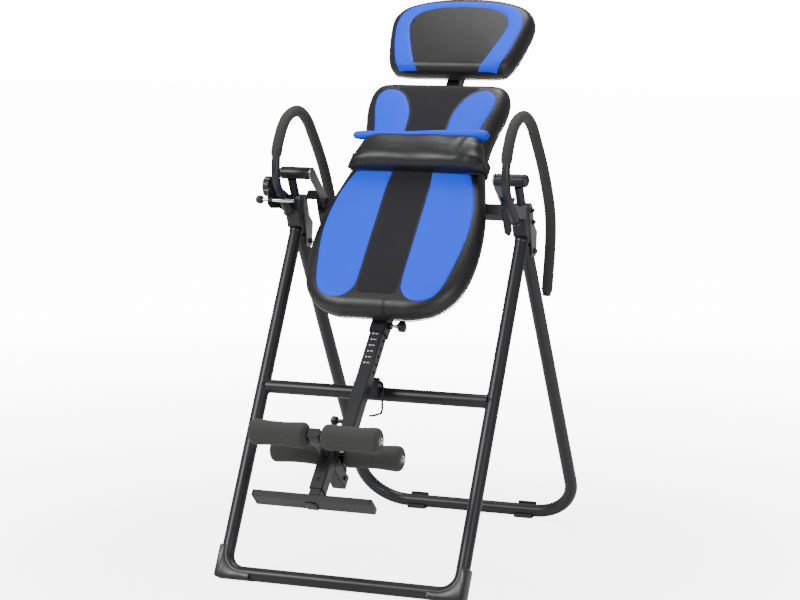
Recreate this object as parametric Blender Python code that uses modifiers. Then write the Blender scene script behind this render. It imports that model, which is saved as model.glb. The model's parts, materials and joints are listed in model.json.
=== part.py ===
"""Folding inversion table: an A-frame of bent steel tube, a tilting padded bed and a sliding ankle holder.

World axes: +X to the right of a user who faces the bed, +Y to the rear, +Z up.
The bed's own axes are X, S (along the bed, towards the head) and N (out of the cushion, towards the user);
their origin is the pivot axis of the bed.
"""

import math

import bmesh
import bpy
from mathutils import Matrix, Vector

# ---- driving dimensions, metres ----
LEG_SPACING = 0.665          # centre to centre of the left and right legs
LEG_RADIUS = 0.0175          # 35 mm frame tube
FRONT_REACH = 0.489          # front base bar, ahead of the apex
REAR_REACH = 0.533           # rear base bar, behind the apex
FOOT_PAD = 0.004             # rubber under each base bar
APEX_HEIGHT = 0.9095         # where the leg centre lines would meet
CROSSBAR_HEIGHT = 0.483
CROSSBAR_RADIUS = 0.0185
FRONT_BEND = 0.055
REAR_BEND = 0.130

PIVOT_Y = -0.051
PIVOT_Z = 1.054
BED_ANGLE = math.radians(48)  # bed above the horizontal at rest
HOUSING_RADIUS = 0.0175
HOUSING_INNER_X = 0.275
HOUSING_OUTER_X = 0.352
SHAFT_RADIUS = 0.008
ARM_X = 0.268                # mid plane of the flat pivot arms
ARM_THICK = 0.005

FOLD_Y = 0.034               # rear leg pivot bolt
FOLD_Z = 0.857
FOLD_BOLT_RADIUS = 0.005

HANDLE_RADIUS = 0.0102
GRIP_RADIUS = 0.0145
GRIP_WALL = 0.0030

CUSHION_FACE = -0.060        # front face of the cushions along N
CUSHION_THICK = 0.063
BACKREST_LOW = -0.4000
BACKREST_HIGH = 0.3920
HEADREST_LOW = 0.4360
HEADREST_HIGH = 0.7140
TUBE_N = -0.151              # centre line of boom and sleeve along N
SLEEVE_SIDE = 0.045
SLEEVE_LOW = -0.420
BOOM_SIDE = 0.038
INNER_SIDE = 0.032
PIN_S = -0.390               # height pin along S
HOLE_PITCH = 0.025
CROSS_S = -0.855             # centre line of the ankle cross tube along S
STEM_N = -0.079              # centre line of the footrest stem along N
ROLLER_LENGTH = 0.154
ROLLER_END_RADIUS = 0.0335
ROLLER_WAIST_RADIUS = 0.0305
AXLE_RADIUS = 0.008
FRONT_OFFSET = 0.1000        # middle of a roller from the middle plane
REAR_OFFSET = 0.1040
FRONT_AXLE_S = -0.853
FRONT_AXLE_N = 0.028
REAR_AXLE_S = -0.812
REAR_AXLE_N = -0.1233
FOOTREST_S = -0.9845
FOOTREST_HALF = 0.161
FOOTREST_THICK = 0.018

GAP = 0.0003                 # clearance between pieces that touch
ORIGIN_SHIFT = Vector((0.0188, 0.0614, 0.0))  # brings the middle of the whole outline over the origin

COLLECTION_NAME = "inversion_table"
HALF = LEG_SPACING / 2
BASE_Z = LEG_RADIUS + FOOT_PAD
SIDES = (("left", -1), ("right", 1))


# ---- scene, materials and placing ----

def clear_scene():
    """Remove every object that the file opened with."""
    for thing in list(bpy.data.objects):
        bpy.data.objects.remove(thing, do_unlink=True)


def collection(name):
    """Make a collection in the scene and return it."""
    made = bpy.data.collections.new(name)
    bpy.context.scene.collection.children.link(made)
    return made


def material(name, colour, roughness, metallic=0.0):
    """One Principled finish for a node; the same name is made once."""
    found = bpy.data.materials.get(name)
    if found:
        return found
    made = bpy.data.materials.new(name)
    made.use_nodes = True
    shader = made.node_tree.nodes["Principled BSDF"]
    shader.inputs["Base Color"].default_value = (*colour, 1.0)
    shader.inputs["Roughness"].default_value = roughness
    shader.inputs["Metallic"].default_value = metallic
    return made


def finish(kind):
    """The finishes of the table: powder coat, chrome, zinc, foam, vinyl, rubber and moulded plastic."""
    table = {
        "coat": ("black_powder_coat", (0.022, 0.022, 0.024), 0.42, 0.2),
        "chrome": ("bright_chrome", (0.75, 0.75, 0.76), 0.12, 1.0),
        "zinc": ("zinc_plate", (0.42, 0.42, 0.41), 0.38, 1.0),
        "foam": ("grip_foam", (0.045, 0.045, 0.044), 0.85, 0.0),
        "vinyl": ("black_vinyl", (0.014, 0.014, 0.016), 0.38, 0.0),
        "rubber": ("black_rubber", (0.02, 0.02, 0.02), 0.75, 0.0),
        "plastic": ("black_plastic", (0.016, 0.016, 0.017), 0.4, 0.0),
    }
    return material(*table[kind])


def empty(name, location, parent=None, tilt=0.0):
    """An axis marker: pieces parented to it are placed in its own axes."""
    marker = bpy.data.objects.new(name, None)
    marker.location = location
    marker.rotation_euler = (tilt, 0.0, 0.0)
    marker.parent = parent
    PARTS.objects.link(marker)
    return marker


def add(name, data, kind, parent, location=(0, 0, 0), rotation=(0, 0, 0)):
    """Put mesh or curve data into the scene as one named sub-part."""
    thing = bpy.data.objects.new(name, data)
    thing.location = location
    thing.rotation_euler = rotation
    thing.parent = parent
    data.materials.append(finish(kind))
    PARTS.objects.link(thing)
    return thing


def round_edges(thing, width, segments=2):
    """Bevel every edge sharper than 40 degrees."""
    bevel = thing.modifiers.new("round_edges", "BEVEL")
    bevel.width = width
    bevel.segments = segments
    bevel.limit_method = "ANGLE"
    bevel.angle_limit = math.radians(40)
    return thing


def smooth(mesh):
    """Shade a round piece smooth, with its rims left crisp."""
    mesh.shade_smooth()
    mesh.set_sharp_from_angle(angle=math.radians(35))


# ---- shapes ----

def box_mesh(name, size):
    """A box centred on its own origin."""
    mesh = bpy.data.meshes.new(name)
    bm = bmesh.new()
    bmesh.ops.create_cube(bm, size=1.0)
    bmesh.ops.scale(bm, vec=size, verts=bm.verts)
    bm.to_mesh(mesh)
    bm.free()
    return mesh


def box(name, size, centre, kind, parent, bevel=0.0015, rotation=(0, 0, 0)):
    """A block with softened edges."""
    thing = add(name, box_mesh(name, size), kind, parent, centre, rotation)
    if bevel:
        round_edges(thing, bevel)
    return thing


AXIS_TURN = {
    "X": Matrix.Rotation(math.radians(90), 4, "Y"),
    "Y": Matrix.Rotation(math.radians(-90), 4, "X"),
    "Z": Matrix.Identity(4),
}


def cylinder_mesh(name, radius, length, axis="X", segments=28):
    """A solid round bar centred on its own origin, along X, Y or Z."""
    mesh = bpy.data.meshes.new(name)
    bm = bmesh.new()
    bmesh.ops.create_cone(bm, cap_ends=True, segments=segments, radius1=radius, radius2=radius,
                          depth=length, matrix=AXIS_TURN[axis])
    bm.to_mesh(mesh)
    bm.free()
    smooth(mesh)
    return mesh


def bar(name, radius, start, end, kind, parent, axis="X", bevel=0.0, segments=28):
    """A round bar between two points on a line along one axis."""
    a, b = Vector(start), Vector(end)
    thing = add(name, cylinder_mesh(name, radius, (b - a).length, axis, segments), kind, parent, (a + b) / 2)
    if bevel:
        round_edges(thing, bevel)
    return thing


def turned(name, profile, centre, kind, parent, closed=False, steps=32, flip=False):
    """Turn a profile of (radius, height) points about its axis, then lay the axis along X.

    The profile runs from the top down the outer side; a closed one comes back up the bore.
    """
    mesh = bpy.data.meshes.new(name)
    points = [(radius, 0.0, height) for radius, height in profile]
    edges = [(i, i + 1) for i in range(len(points) - 1)]
    if closed:
        edges.append((len(points) - 1, 0))
    mesh.from_pydata(points, edges, [])
    thing = add(name, mesh, kind, parent, centre, (0.0, math.radians(-90 if flip else 90), 0.0))
    screw = thing.modifiers.new("turn", "SCREW")
    screw.steps = steps
    screw.render_steps = steps
    screw.use_merge_vertices = True
    screw.merge_threshold = 0.00001
    return thing


def flat_curve(name, outlines, thickness):
    """Closed outlines in the curve's XY plane, the first filled and the others cut out of it."""
    curve = bpy.data.curves.new(name, "CURVE")
    curve.dimensions = "2D"
    curve.fill_mode = "BOTH"
    curve.extrude = thickness / 2
    for outline in outlines:
        spline = curve.splines.new("POLY")
        spline.points.add(len(outline) - 1)
        for point, (u, v) in zip(spline.points, outline):
            point.co = (u, v, 0.0, 1.0)
        spline.use_cyclic_u = True
    return curve


STAND_UP = (math.radians(90), 0.0, math.radians(90))   # a flat curve's XY plane becomes YZ, its depth X


def plate(name, outlines, thickness, x, kind, parent):
    """A flat plate in the YZ plane of its parent, with its mid plane at x."""
    return add(name, flat_curve(name, outlines, thickness), kind, parent, (x, 0.0, 0.0), STAND_UP)


def circle(centre, radius, count=20):
    """Points of a round hole or disc."""
    return [(centre[0] + radius * math.cos(2 * math.pi * i / count),
             centre[1] + radius * math.sin(2 * math.pi * i / count)) for i in range(count)]


def rounded(points, radius, steps=5):
    """Outline or path corners replaced by arcs; each point is (u, v) and the outline is closed."""
    out = []
    count = len(points)
    for i, here in enumerate(points):
        before = Vector(points[i - 1]) - Vector(here)
        after = Vector(points[(i + 1) % count]) - Vector(here)
        out += corner(Vector(here), before, after, radius, steps)
    return [tuple(p) for p in out]


def corner(here, before, after, radius, steps):
    """Points of the arc that touches both legs of a corner."""
    half = before.angle(after) / 2
    cut = min(radius / math.tan(half), before.length * 0.48, after.length * 0.48)
    r = cut * math.tan(half)
    b, a = before.normalized(), after.normalized()
    middle = here + (b + a).normalized() * (r / math.sin(half))
    start = here + b * cut - middle
    turn = math.pi - 2 * half
    side = (here + a * cut - middle)
    across = (side - start * math.cos(turn)) / math.sin(turn)
    return [middle + start * math.cos(turn * k / steps) + across * math.sin(turn * k / steps)
            for k in range(steps + 1)]


def bent_path(points, radius, steps=7):
    """An open run of straight tubes with a bend of one radius at each inner point."""
    pts = [Vector(p) for p in points]
    out = [pts[0]]
    for i in range(1, len(pts) - 1):
        out += corner(pts[i], pts[i - 1] - pts[i], pts[i + 1] - pts[i], radius, steps)
    out.append(pts[-1])
    return out


def through(points, per_span=4):
    """A smooth Catmull-Rom curve through points, sampled evenly in each span."""
    pts = [Vector(p) for p in points]
    pts = [2 * pts[0] - pts[1]] + pts + [2 * pts[-1] - pts[-2]]
    out = []
    for i in range(1, len(pts) - 2):
        p0, p1, p2, p3 = pts[i - 1:i + 3]
        for k in range(per_span):
            t = k / per_span
            out.append(0.5 * (2 * p1 + (p2 - p0) * t + (2 * p0 - 5 * p1 + 4 * p2 - p3) * t * t
                              + (3 * p1 - p0 - 3 * p2 + p3) * t ** 3))
    out.append(pts[-2])
    return out


def wire(name, path, radius, kind, parent, resolution=4, caps=True):
    """A round tube or wire along a path."""
    curve = bpy.data.curves.new(name, "CURVE")
    curve.dimensions = "3D"
    curve.bevel_depth = radius
    curve.bevel_resolution = resolution
    curve.use_fill_caps = caps
    spline = curve.splines.new("POLY")
    spline.points.add(len(path) - 1)
    for point, place in zip(spline.points, path):
        point.co = (*place, 1.0)
    return add(name, curve, kind, parent)


def made_mesh(thing, weld=0.00001):
    """The piece as a mesh object with welded caps, in place of its curve."""
    bpy.context.view_layer.update()
    graph = bpy.context.evaluated_depsgraph_get()
    mesh = bpy.data.meshes.new_from_object(thing.evaluated_get(graph))
    bm = bmesh.new()
    bm.from_mesh(mesh)
    bmesh.ops.remove_doubles(bm, verts=bm.verts, dist=weld)
    bm.to_mesh(mesh)
    bm.free()
    name, parent, place = thing.name, thing.parent, thing.matrix_world.copy()
    bpy.data.objects.remove(thing, do_unlink=True)
    made = bpy.data.objects.new(name, mesh)
    PARTS.objects.link(made)
    made.parent = parent
    made.matrix_world = place
    return made


def cut(thing, cutter):
    """Cut one shape out of a piece."""
    PARTS.objects.unlink(cutter)
    CUTTERS.objects.link(cutter)
    cutter.hide_render = True
    cutter.display_type = "WIRE"
    boolean = thing.modifiers.new("cut_" + cutter.name, "BOOLEAN")
    boolean.operation = "DIFFERENCE"
    boolean.object = cutter
    return thing


def joined(thing, other):
    """Weld another shape to a piece, as one body."""
    cut(thing, other).modifiers[-1].operation = "UNION"
    return thing


def square_tube(name, side, inner, start, end, kind, parent, along="S"):
    """An open-ended square tube between two places, along S (local Y) or N (local Z)."""
    length = end - start
    wall = [rounded([(-side / 2, -side / 2), (side / 2, -side / 2), (side / 2, side / 2), (-side / 2, side / 2)],
                    side * 0.1, 3),
            rounded([(-inner / 2, -inner / 2), (inner / 2, -inner / 2), (inner / 2, inner / 2),
                     (-inner / 2, inner / 2)], side * 0.05, 2)]
    turn = (math.radians(-90), 0.0, 0.0) if along == "S" else (0.0, 0.0, 0.0)
    thing = add(name, flat_curve(name, wall, length), kind, parent, (0, 0, 0), turn)
    return thing, (start + end) / 2


# ---- the frame ----

def front_leg_point(height):
    """Y of the front leg's centre line at a height."""
    return -FRONT_REACH * (APEX_HEIGHT - height) / (APEX_HEIGHT - BASE_Z)


def rear_leg_point(height):
    """Y of the rear leg's centre line at a height."""
    return REAR_REACH * (APEX_HEIGHT - height) / (APEX_HEIGHT - BASE_Z)


def front_frame(datum):
    """The front U of tube, its crossbar and its two corner feet."""
    top = APEX_HEIGHT - 0.0185
    path = bent_path([(-HALF, front_leg_point(top), top), (-HALF, -FRONT_REACH, BASE_Z),
                      (HALF, -FRONT_REACH, BASE_Z), (HALF, front_leg_point(top), top)], FRONT_BEND)
    wire("front_frame", path, LEG_RADIUS, "coat", datum)
    y = front_leg_point(CROSSBAR_HEIGHT)
    half_length = HALF - LEG_RADIUS - GAP
    bar("front_crossbar", CROSSBAR_RADIUS, (-half_length, y, CROSSBAR_HEIGHT), (half_length, y, CROSSBAR_HEIGHT),
        "coat", datum)
    for side, sign in SIDES:
        corner_foot("front_foot_" + side, sign * 0.247, -FRONT_REACH, datum)


def corner_foot(name, x, y, parent, length=0.052):
    """A rubber clip that hugs the lower half of a base bar and gives it a flat sole."""
    block = box(name, (length, 0.046, 0.026), (x, y, 0.013), "rubber", parent, 0.003)
    groove = bar(name + "_groove", LEG_RADIUS + GAP, (x - length, y, BASE_Z), (x + length, y, BASE_Z), "rubber",
                 parent, segments=32)
    cut(block, groove)


def rear_frame(datum):
    """The rear U of tube on its fold axis, with two rubber clips under the base bar."""
    hinge = empty("rear_fold_axis", (0.0, FOLD_Y, FOLD_Z), datum)
    top = FOLD_Z + 0.022
    points = [(-HALF, rear_leg_point(top), top), (-HALF, REAR_REACH, BASE_Z),
              (HALF, REAR_REACH, BASE_Z), (HALF, rear_leg_point(top), top)]
    path = [p - hinge.location for p in bent_path(points, REAR_BEND, 9)]
    frame = made_mesh(wire("rear_frame", path, LEG_RADIUS, "coat", hinge))
    for side, sign in SIDES:
        x = sign * HALF
        reach = 2 * LEG_RADIUS
        bore = bar("fold_bore_" + side, FOLD_BOLT_RADIUS + GAP, (x - reach, 0, 0), (x + reach, 0, 0), "coat", hinge,
                   segments=20)
        cut(frame, bore)
    for side, sign in SIDES:
        foot = "rear_foot_" + side
        corner_foot(foot, sign * 0.170, REAR_REACH, datum, 0.060)


def hinge_group(datum):
    """Each side's bracket, post, hinge plates and the bolt that the rear leg turns on."""
    outline = [(-0.0290, 0.9030), (0.0095, 0.8820), (0.0300, 0.8960), (0.0330, 0.9400), (0.0140, 0.9900),
               (-0.0260, 0.9900), (-0.0440, 0.9500)]
    link = [(-0.0080, 0.9850), (-0.0080, 0.9560), (0.0180, 0.8420), (0.0470, 0.8420), (0.0560, 0.9080),
            (0.0300, 0.9300), (0.0120, 0.9850)]
    for side, sign in SIDES:
        x = sign * HALF
        bracket = plate("hinge_bracket_" + side, [rounded(outline, 0.006, 4)], 0.038, x, "coat", datum)
        for place, offset in (("outer", 0.0208), ("inner", -0.0208)):
            plate(f"hinge_plate_{side}_{place}", [rounded(link, 0.006, 4), circle((FOLD_Y, FOLD_Z), FOLD_BOLT_RADIUS + GAP)],
                  0.003, x + sign * offset, "zinc", datum)
        pin = turned("fold_bolt_" + side, [(0, 0.0290), (0.0065, 0.0285), (0.0080, 0.0255), (0.0080, 0.0228),
                                           (FOLD_BOLT_RADIUS, 0.0226), (FOLD_BOLT_RADIUS, -0.0226), (0.0080, -0.0228),
                                           (0.0080, -0.0255), (0.0065, -0.0285), (0, -0.0290)],
                     (x, FOLD_Y, FOLD_Z), "coat", datum, steps=20)
        pin.name = "fold_bolt_" + side
        start, post_top = Vector((-0.0090, 0.9700)), Vector((PIVOT_Y, PIVOT_Z))
        direction = (post_top - start).normalized()
        tip = post_top - direction * (HOUSING_RADIUS + 0.0006)
        middle = (start + tip) / 2
        lean = math.atan2(direction.x, direction.y)
        post = add("pivot_post_" + side, cylinder_mesh("pivot_post_" + side, 0.0125, (tip - start).length, "Z"),
                   "coat", datum, (x, middle.x, middle.y), (-lean, 0.0, 0.0))
        joined(made_mesh(bracket), post)


def pivot_housings(datum):
    """The bored bearing tubes of the bed pivot and their domed outer caps."""
    half = (HOUSING_OUTER_X - HOUSING_INNER_X) / 2
    middle = (HOUSING_OUTER_X + HOUSING_INNER_X) / 2
    bore = SHAFT_RADIUS + GAP
    ring = [(bore, half), (HOUSING_RADIUS - 0.001, half), (HOUSING_RADIUS, half - 0.001),
            (HOUSING_RADIUS, -half + 0.001), (HOUSING_RADIUS - 0.001, -half), (bore, -half)]
    dome = [(0, 0.0120), (0.0080, 0.0112), (0.0140, 0.0085), (0.0172, 0.0040), (0.0175, 0.0), (0, 0.0)]
    for side, sign in SIDES:
        turned("pivot_housing_" + side, ring, (sign * middle, PIVOT_Y, PIVOT_Z), "coat", datum, closed=True)
        turned("pivot_cap_" + side, dome, (sign * (HOUSING_OUTER_X + GAP), PIVOT_Y, PIVOT_Z), "plastic", datum,
               flip=sign < 0)


def handles(datum):
    """The looped handles: bent tube, foam sleeve and end cap on each side."""
    route = [(-0.056, 0.938), (-0.098, 0.978), (-0.138, 1.022), (-0.150, 1.066), (-0.139, 1.131),
             (-0.088, 1.200), (-0.012, 1.224), (0.052, 1.203), (0.100, 1.156), (0.172, 1.066),
             (0.226, 0.972), (0.243, 0.908), (0.240, 0.842), (0.227, 0.774), (0.215, 0.716)]
    grip_start = 6
    for side, sign in SIDES:
        x = sign * HALF
        path = through([(x, y, z) for y, z in route], 2)
        wire("handle_" + side, path, HANDLE_RADIUS, "coat", datum, 2)
        sleeve = made_mesh(wire("grip_" + side, path[grip_start:-1], GRIP_RADIUS, "foam", datum, 2, caps=False))
        wall = sleeve.modifiers.new("wall", "SOLIDIFY")
        wall.thickness = GRIP_WALL
        wall.offset = -1.0
        wall.use_even_offset = True
        end, before = Vector(path[-1]), Vector(path[-2])
        direction = (end - before).normalized()
        lean = math.atan2(-direction.y, direction.z)
        dome = [(0, 0.0060), (0.0080, 0.0050), (0.0125, 0.0020), (0.0135, 0.0), (0, 0.0)]
        cap = turned("grip_cap_" + side, dome, end + direction * GAP, "plastic", datum, steps=24)
        cap.rotation_euler = (lean, 0.0, 0.0)


def tilt_limiter(datum):
    """The left side's tilt stop: a carrier plate, a ribbed dial and a spring pin with a ball knob."""
    x = -HALF - 0.0208 - 0.0015 - GAP
    pin_y, pin_z = -0.1300, 0.9837
    dial_y, dial_z = -0.1180, 1.0200
    carrier = [(-0.0260, 0.9400), (0.0040, 0.9480), (0.0040, 0.9840), (-0.0500, 1.0080), (-0.0980, 1.0380),
               (-0.1260, 1.0400), (-0.1460, 1.0150), (-0.1500, 0.9720), (-0.1250, 0.9600), (-0.0700, 0.9560)]
    plate("limiter_plate", [rounded(carrier, 0.008, 4), circle((pin_y, pin_z), 0.0056),
                            circle((dial_y, dial_z), 0.0043)], 0.003, x - 0.0015, "coat", datum)
    dial_start = x - 0.003 - GAP
    ribs = 18
    rim = []
    for i in range(ribs * 4):
        radius = 0.0285 if i % 4 < 2 else 0.0268
        angle = 2 * math.pi * i / (ribs * 4)
        rim.append((radius * math.cos(angle), radius * math.sin(angle)))
    dial = plate("limiter_dial", [rim], 0.0175, 0.0, "plastic", datum)
    dial.location = (dial_start - 0.00875, dial_y, dial_z)
    spindle = bar("limiter_spindle", 0.0040, (dial_start - 0.010, dial_y, dial_z), (dial_start + 0.008, dial_y, dial_z),
                  "chrome", datum, segments=16)
    joined(made_mesh(dial), spindle)
    knob = [(0, 0.0860), (0.0040, 0.0850), (0.0050, 0.0830), (0.0050, -0.0060), (0.0060, -0.0062)]
    ball = [(0.0125 * math.cos(a), -0.0170 + 0.0125 * math.sin(a))
            for a in [math.radians(60 - 15 * i) for i in range(10)]]
    turned("limiter_pin", knob + ball + [(0, -0.0295)], (-0.3725, pin_y, pin_z), "chrome", datum, steps=24)


def crossbar_latch(datum):
    """The storage latch on the crossbar: a saddle plate, a sprung wire hook and its return spring."""
    y = front_leg_point(CROSSBAR_HEIGHT)
    r = CROSSBAR_RADIUS + GAP
    saddle = [(y - r - 0.003, CROSSBAR_HEIGHT - 0.012), (y - r - 0.003, CROSSBAR_HEIGHT + 0.040),
              (y - r + 0.006, CROSSBAR_HEIGHT + 0.048), (y + 0.004, CROSSBAR_HEIGHT + 0.030),
              (y + r + 0.003, CROSSBAR_HEIGHT + 0.014), (y + r + 0.003, CROSSBAR_HEIGHT - 0.012)]
    seat = circle((y, CROSSBAR_HEIGHT), r, 28)
    cover = plate("latch_saddle", [rounded(saddle, 0.004, 3)], 0.030, 0.0, "coat", datum)
    bore = bar("latch_seat", r, (-0.05, y, CROSSBAR_HEIGHT), (0.05, y, CROSSBAR_HEIGHT), "coat", datum,
               segments=len(seat))
    slot = box("latch_slot", (0.06, 2 * r, 0.06), (0.0, y, CROSSBAR_HEIGHT - 0.030), "coat", datum, 0.0)
    hole = bar("latch_hole", 0.0028, (-0.05, y - 0.0105, CROSSBAR_HEIGHT + 0.033),
               (0.05, y - 0.0105, CROSSBAR_HEIGHT + 0.033), "coat", datum, segments=16)
    body = made_mesh(cover)
    cut(body, bore)
    cut(body, slot)
    cut(body, hole)
    axis = empty("latch_axis", (0.0, y - 0.0105, CROSSBAR_HEIGHT + 0.033), datum)
    hook = [(-0.022, 0.0, 0.0), (0.022, 0.0, 0.0), (0.030, -0.012, -0.016), (0.030, -0.020, -0.040),
            (0.030, -0.019, -0.082), (0.026, -0.018, -0.094), (0.006, -0.018, -0.101), (-0.008, -0.018, -0.103)]
    wire("latch_hook", bent_path(hook, 0.009, 4), 0.0024, "coat", axis, 2)
    turns, per_turn, pitch, coil = 7, 8, 0.0048, 0.0045
    start_x, spring_z = -0.0300, CROSSBAR_HEIGHT + CROSSBAR_RADIUS + 0.0075
    helix = [(start_x - pitch * i / per_turn, y + coil * math.cos(2 * math.pi * i / per_turn),
              spring_z + coil * math.sin(2 * math.pi * i / per_turn)) for i in range(turns * per_turn + 1)]
    ring = [(helix[-1][0] - 0.0075 * math.sin(a) - 0.002, y + 0.0005,
             spring_z + 0.0060 * math.cos(a)) for a in [math.radians(45 * i) for i in range(1, 7)]]
    wire("latch_spring", [(-0.0158, y + coil, spring_z)] + helix + ring, 0.0009, "chrome", datum, 1)


# ---- the bed ----

def mirrored(half_outline):
    """A whole outline from its right half, listed from the bottom middle to the top middle."""
    left = [(-u, v) for u, v in reversed(half_outline) if u > 0]
    return half_outline + left


def cushion(name, half_outline, parent, face=CUSHION_FACE, thick=CUSHION_THICK):
    """A simple padded slab: an outline in X and S with a soft rim."""
    outline = mirrored(half_outline)
    slab = add(name, flat_curve(name, [outline], thick), "vinyl", parent, (0.0, 0.0, face - thick / 2))
    slab = made_mesh(slab)
    round_edges(slab, 0.018, 2)
    return slab


def smooth_half(points):
    """A smooth half outline through a few points, bottom to top, closed on the middle line."""
    run = through([(u, v, 0.0) for u, v in points], 2)
    return [(p.x, p.y) for p in run]


def cushions(bed, head):
    """Backrest, lumbar pillow and headrest."""
    backrest = smooth_half([(0.110, BACKREST_LOW), (0.168, -0.378), (0.214, -0.330), (0.237, -0.258),
                            (0.2425, -0.166), (0.233, -0.070), (0.212, 0.020), (0.193, 0.096), (0.189, 0.165),
                            (0.195, 0.225), (0.2075, 0.290), (0.2075, 0.345), (0.192, 0.380),
                            (0.158, BACKREST_HIGH)])
    cushion("backrest", backrest, bed)
    headrest = smooth_half([(0.136, HEADREST_LOW), (0.168, 0.443), (0.190, 0.474), (0.205, 0.533),
                            (0.216, 0.606), (0.2115, 0.644), (0.184, 0.678), (0.130, 0.700),
                            (0.060, HEADREST_HIGH)])
    cushion("headrest", headrest, head)
    pillow = box("lumbar_pillow", (0.424, 0.152, 0.060), (0.006, 0.1260, CUSHION_FACE + 0.0306), "vinyl", bed, 0.0)
    round_edges(pillow, 0.022, 4)


def bed_structure(bed):
    """Sleeve, side beams, flat pivot arms, shafts and lock hooks."""
    side, inner = SLEEVE_SIDE, BOOM_SIDE + 2 * GAP
    sleeve, middle = square_tube("bed_sleeve", side, inner, SLEEVE_LOW, 0.300, "coat", bed)
    sleeve.location = (0.0, middle, TUBE_N)
    sleeve = made_mesh(sleeve)
    hole = bar("sleeve_hole", 0.0058, (0.010, PIN_S, TUBE_N), (0.040, PIN_S, TUBE_N), "coat", bed, segments=18)
    cut(sleeve, hole)
    beam_in, beam_out = side / 2 + GAP, ARM_X - ARM_THICK / 2 - GAP
    for name, sign in SIDES:
        centre_x = sign * (beam_in + beam_out) / 2
        box("bed_beam_" + name, (beam_out - beam_in, 0.036, 0.030), (centre_x, 0.0, TUBE_N + 0.004), "coat", bed)
        head = [(0.017 * math.cos(a), 0.017 * math.sin(a)) for a in [math.radians(20 * i) for i in range(10)]]
        outline = head + [(-0.014, -0.150), (-0.008, -0.166), (0.008, -0.166), (0.014, -0.150)]
        plate("pivot_arm_" + name, [outline], ARM_THICK, sign * ARM_X, "zinc", bed)
        shaft_in = ARM_X + ARM_THICK / 2 + GAP
        bar("pivot_shaft_" + name, SHAFT_RADIUS, (sign * shaft_in, 0, 0), (sign * (HOUSING_OUTER_X - GAP), 0, 0),
            "chrome", bed, segments=24)
        hook_x = sign * (ARM_X + ARM_THICK / 2 + GAP + 0.002)
        axis = empty("lock_hook_axis_" + name, (hook_x, 0.0, TUBE_N + 0.026), bed)
        shape = [(-0.008, 0.052), (0.010, 0.036), (0.012, -0.005), (-0.008, -0.044), (-0.024, -0.071),
                 (-0.048, -0.064), (-0.062, -0.032), (-0.046, 0.006), (-0.030, 0.034)]
        hook = plate("lock_hook_" + name, [rounded(shape, 0.004, 3)], 0.004, 0.0, "plastic", axis)
        tab = box("lock_tab_" + name, (0.035, 0.030, 0.004), (sign * 0.0155, -0.013, 0.044), "plastic", axis, 0.0)
        joined(made_mesh(hook), tab)


def boom_group(bed):
    """The height boom with its ankle cross tube, rear axle and the sprung pins that lock it."""
    low = CROSS_S + BOOM_SIDE / 2 + GAP
    boom, middle = square_tube("boom", BOOM_SIDE, BOOM_SIDE - 2 * 0.002, low, -0.220, "coat", bed)
    boom.location = (0.0, middle, TUBE_N)
    boom = made_mesh(boom)
    for i in range(9):
        s = PIN_S + HOLE_PITCH * (2 - i)
        hole = bar(f"height_hole_{i}", 0.0050, (0.006, s, TUBE_N), (0.030, s, TUBE_N), "coat", bed, segments=14)
        cut(boom, hole)
    pin_hole = bar("ankle_pin_hole", 0.0046, (-0.030, -0.697, TUBE_N), (-0.006, -0.697, TUBE_N), "coat", bed,
                   segments=14)
    cut(boom, pin_hole)
    cross, middle = square_tube("ankle_cross_tube", BOOM_SIDE, INNER_SIDE + 2 * GAP, -0.193,
                                STEM_N - BOOM_SIDE / 2 - GAP, "coat", bed, "N")
    cross.location = (0.0, CROSS_S, middle)
    bar("rear_axle", AXLE_RADIUS, (-0.1865, REAR_AXLE_S, REAR_AXLE_N), (0.1865, REAR_AXLE_S, REAR_AXLE_N),
        "chrome", bed, bevel=0.001)
    knob = [(0, 0.0480), (0.0100, 0.0470), (0.0145, 0.0440), (0.0145, 0.0300), (0.0115, 0.0280),
            (0.0085, 0.0275), (0.0085, 0.0003), (0.0044, 0.0001), (0.0044, -0.0016), (0, -0.0026)]
    turned("height_pin", knob, (SLEEVE_SIDE / 2, PIN_S, TUBE_N), "plastic", bed, steps=28)
    release = [(0, 0.0400), (0.0070, 0.0390), (0.0120, 0.0350), (0.0135, 0.0290), (0.0120, 0.0230),
               (0.0075, 0.0195), (0.0060, 0.0190), (0.0060, 0.0024), (0.0042, 0.0022), (0.0042, -0.0040),
               (0, -0.0045)]
    turned("ankle_pin", release, (-BOOM_SIDE / 2, -0.697, TUBE_N), "plastic", bed, steps=28, flip=True)


def rollers(bed):
    """Four waisted foam rollers, each free on its half of an axle."""
    half, bore = ROLLER_LENGTH / 2, AXLE_RADIUS + GAP
    outer = []
    rows = 8
    for i in range(rows + 1):
        t = -1 + 2 * i / rows
        radius = ROLLER_WAIST_RADIUS + (ROLLER_END_RADIUS - ROLLER_WAIST_RADIUS) * t * t
        outer.append((radius, -t * (half - 0.006)))
    ring = [(bore, half), (ROLLER_END_RADIUS - 0.008, half)] + outer
    ring += [(ROLLER_END_RADIUS - 0.008, -half), (bore, -half)]
    rows = (("front", FRONT_AXLE_S, FRONT_AXLE_N, FRONT_OFFSET), ("rear", REAR_AXLE_S, REAR_AXLE_N, REAR_OFFSET))
    for row, s, n, offset in rows:
        for side, sign in SIDES:
            turned(f"{row}_roller_{side}", ring, (sign * offset, s, n), "foam", bed, closed=True, steps=20)


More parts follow.
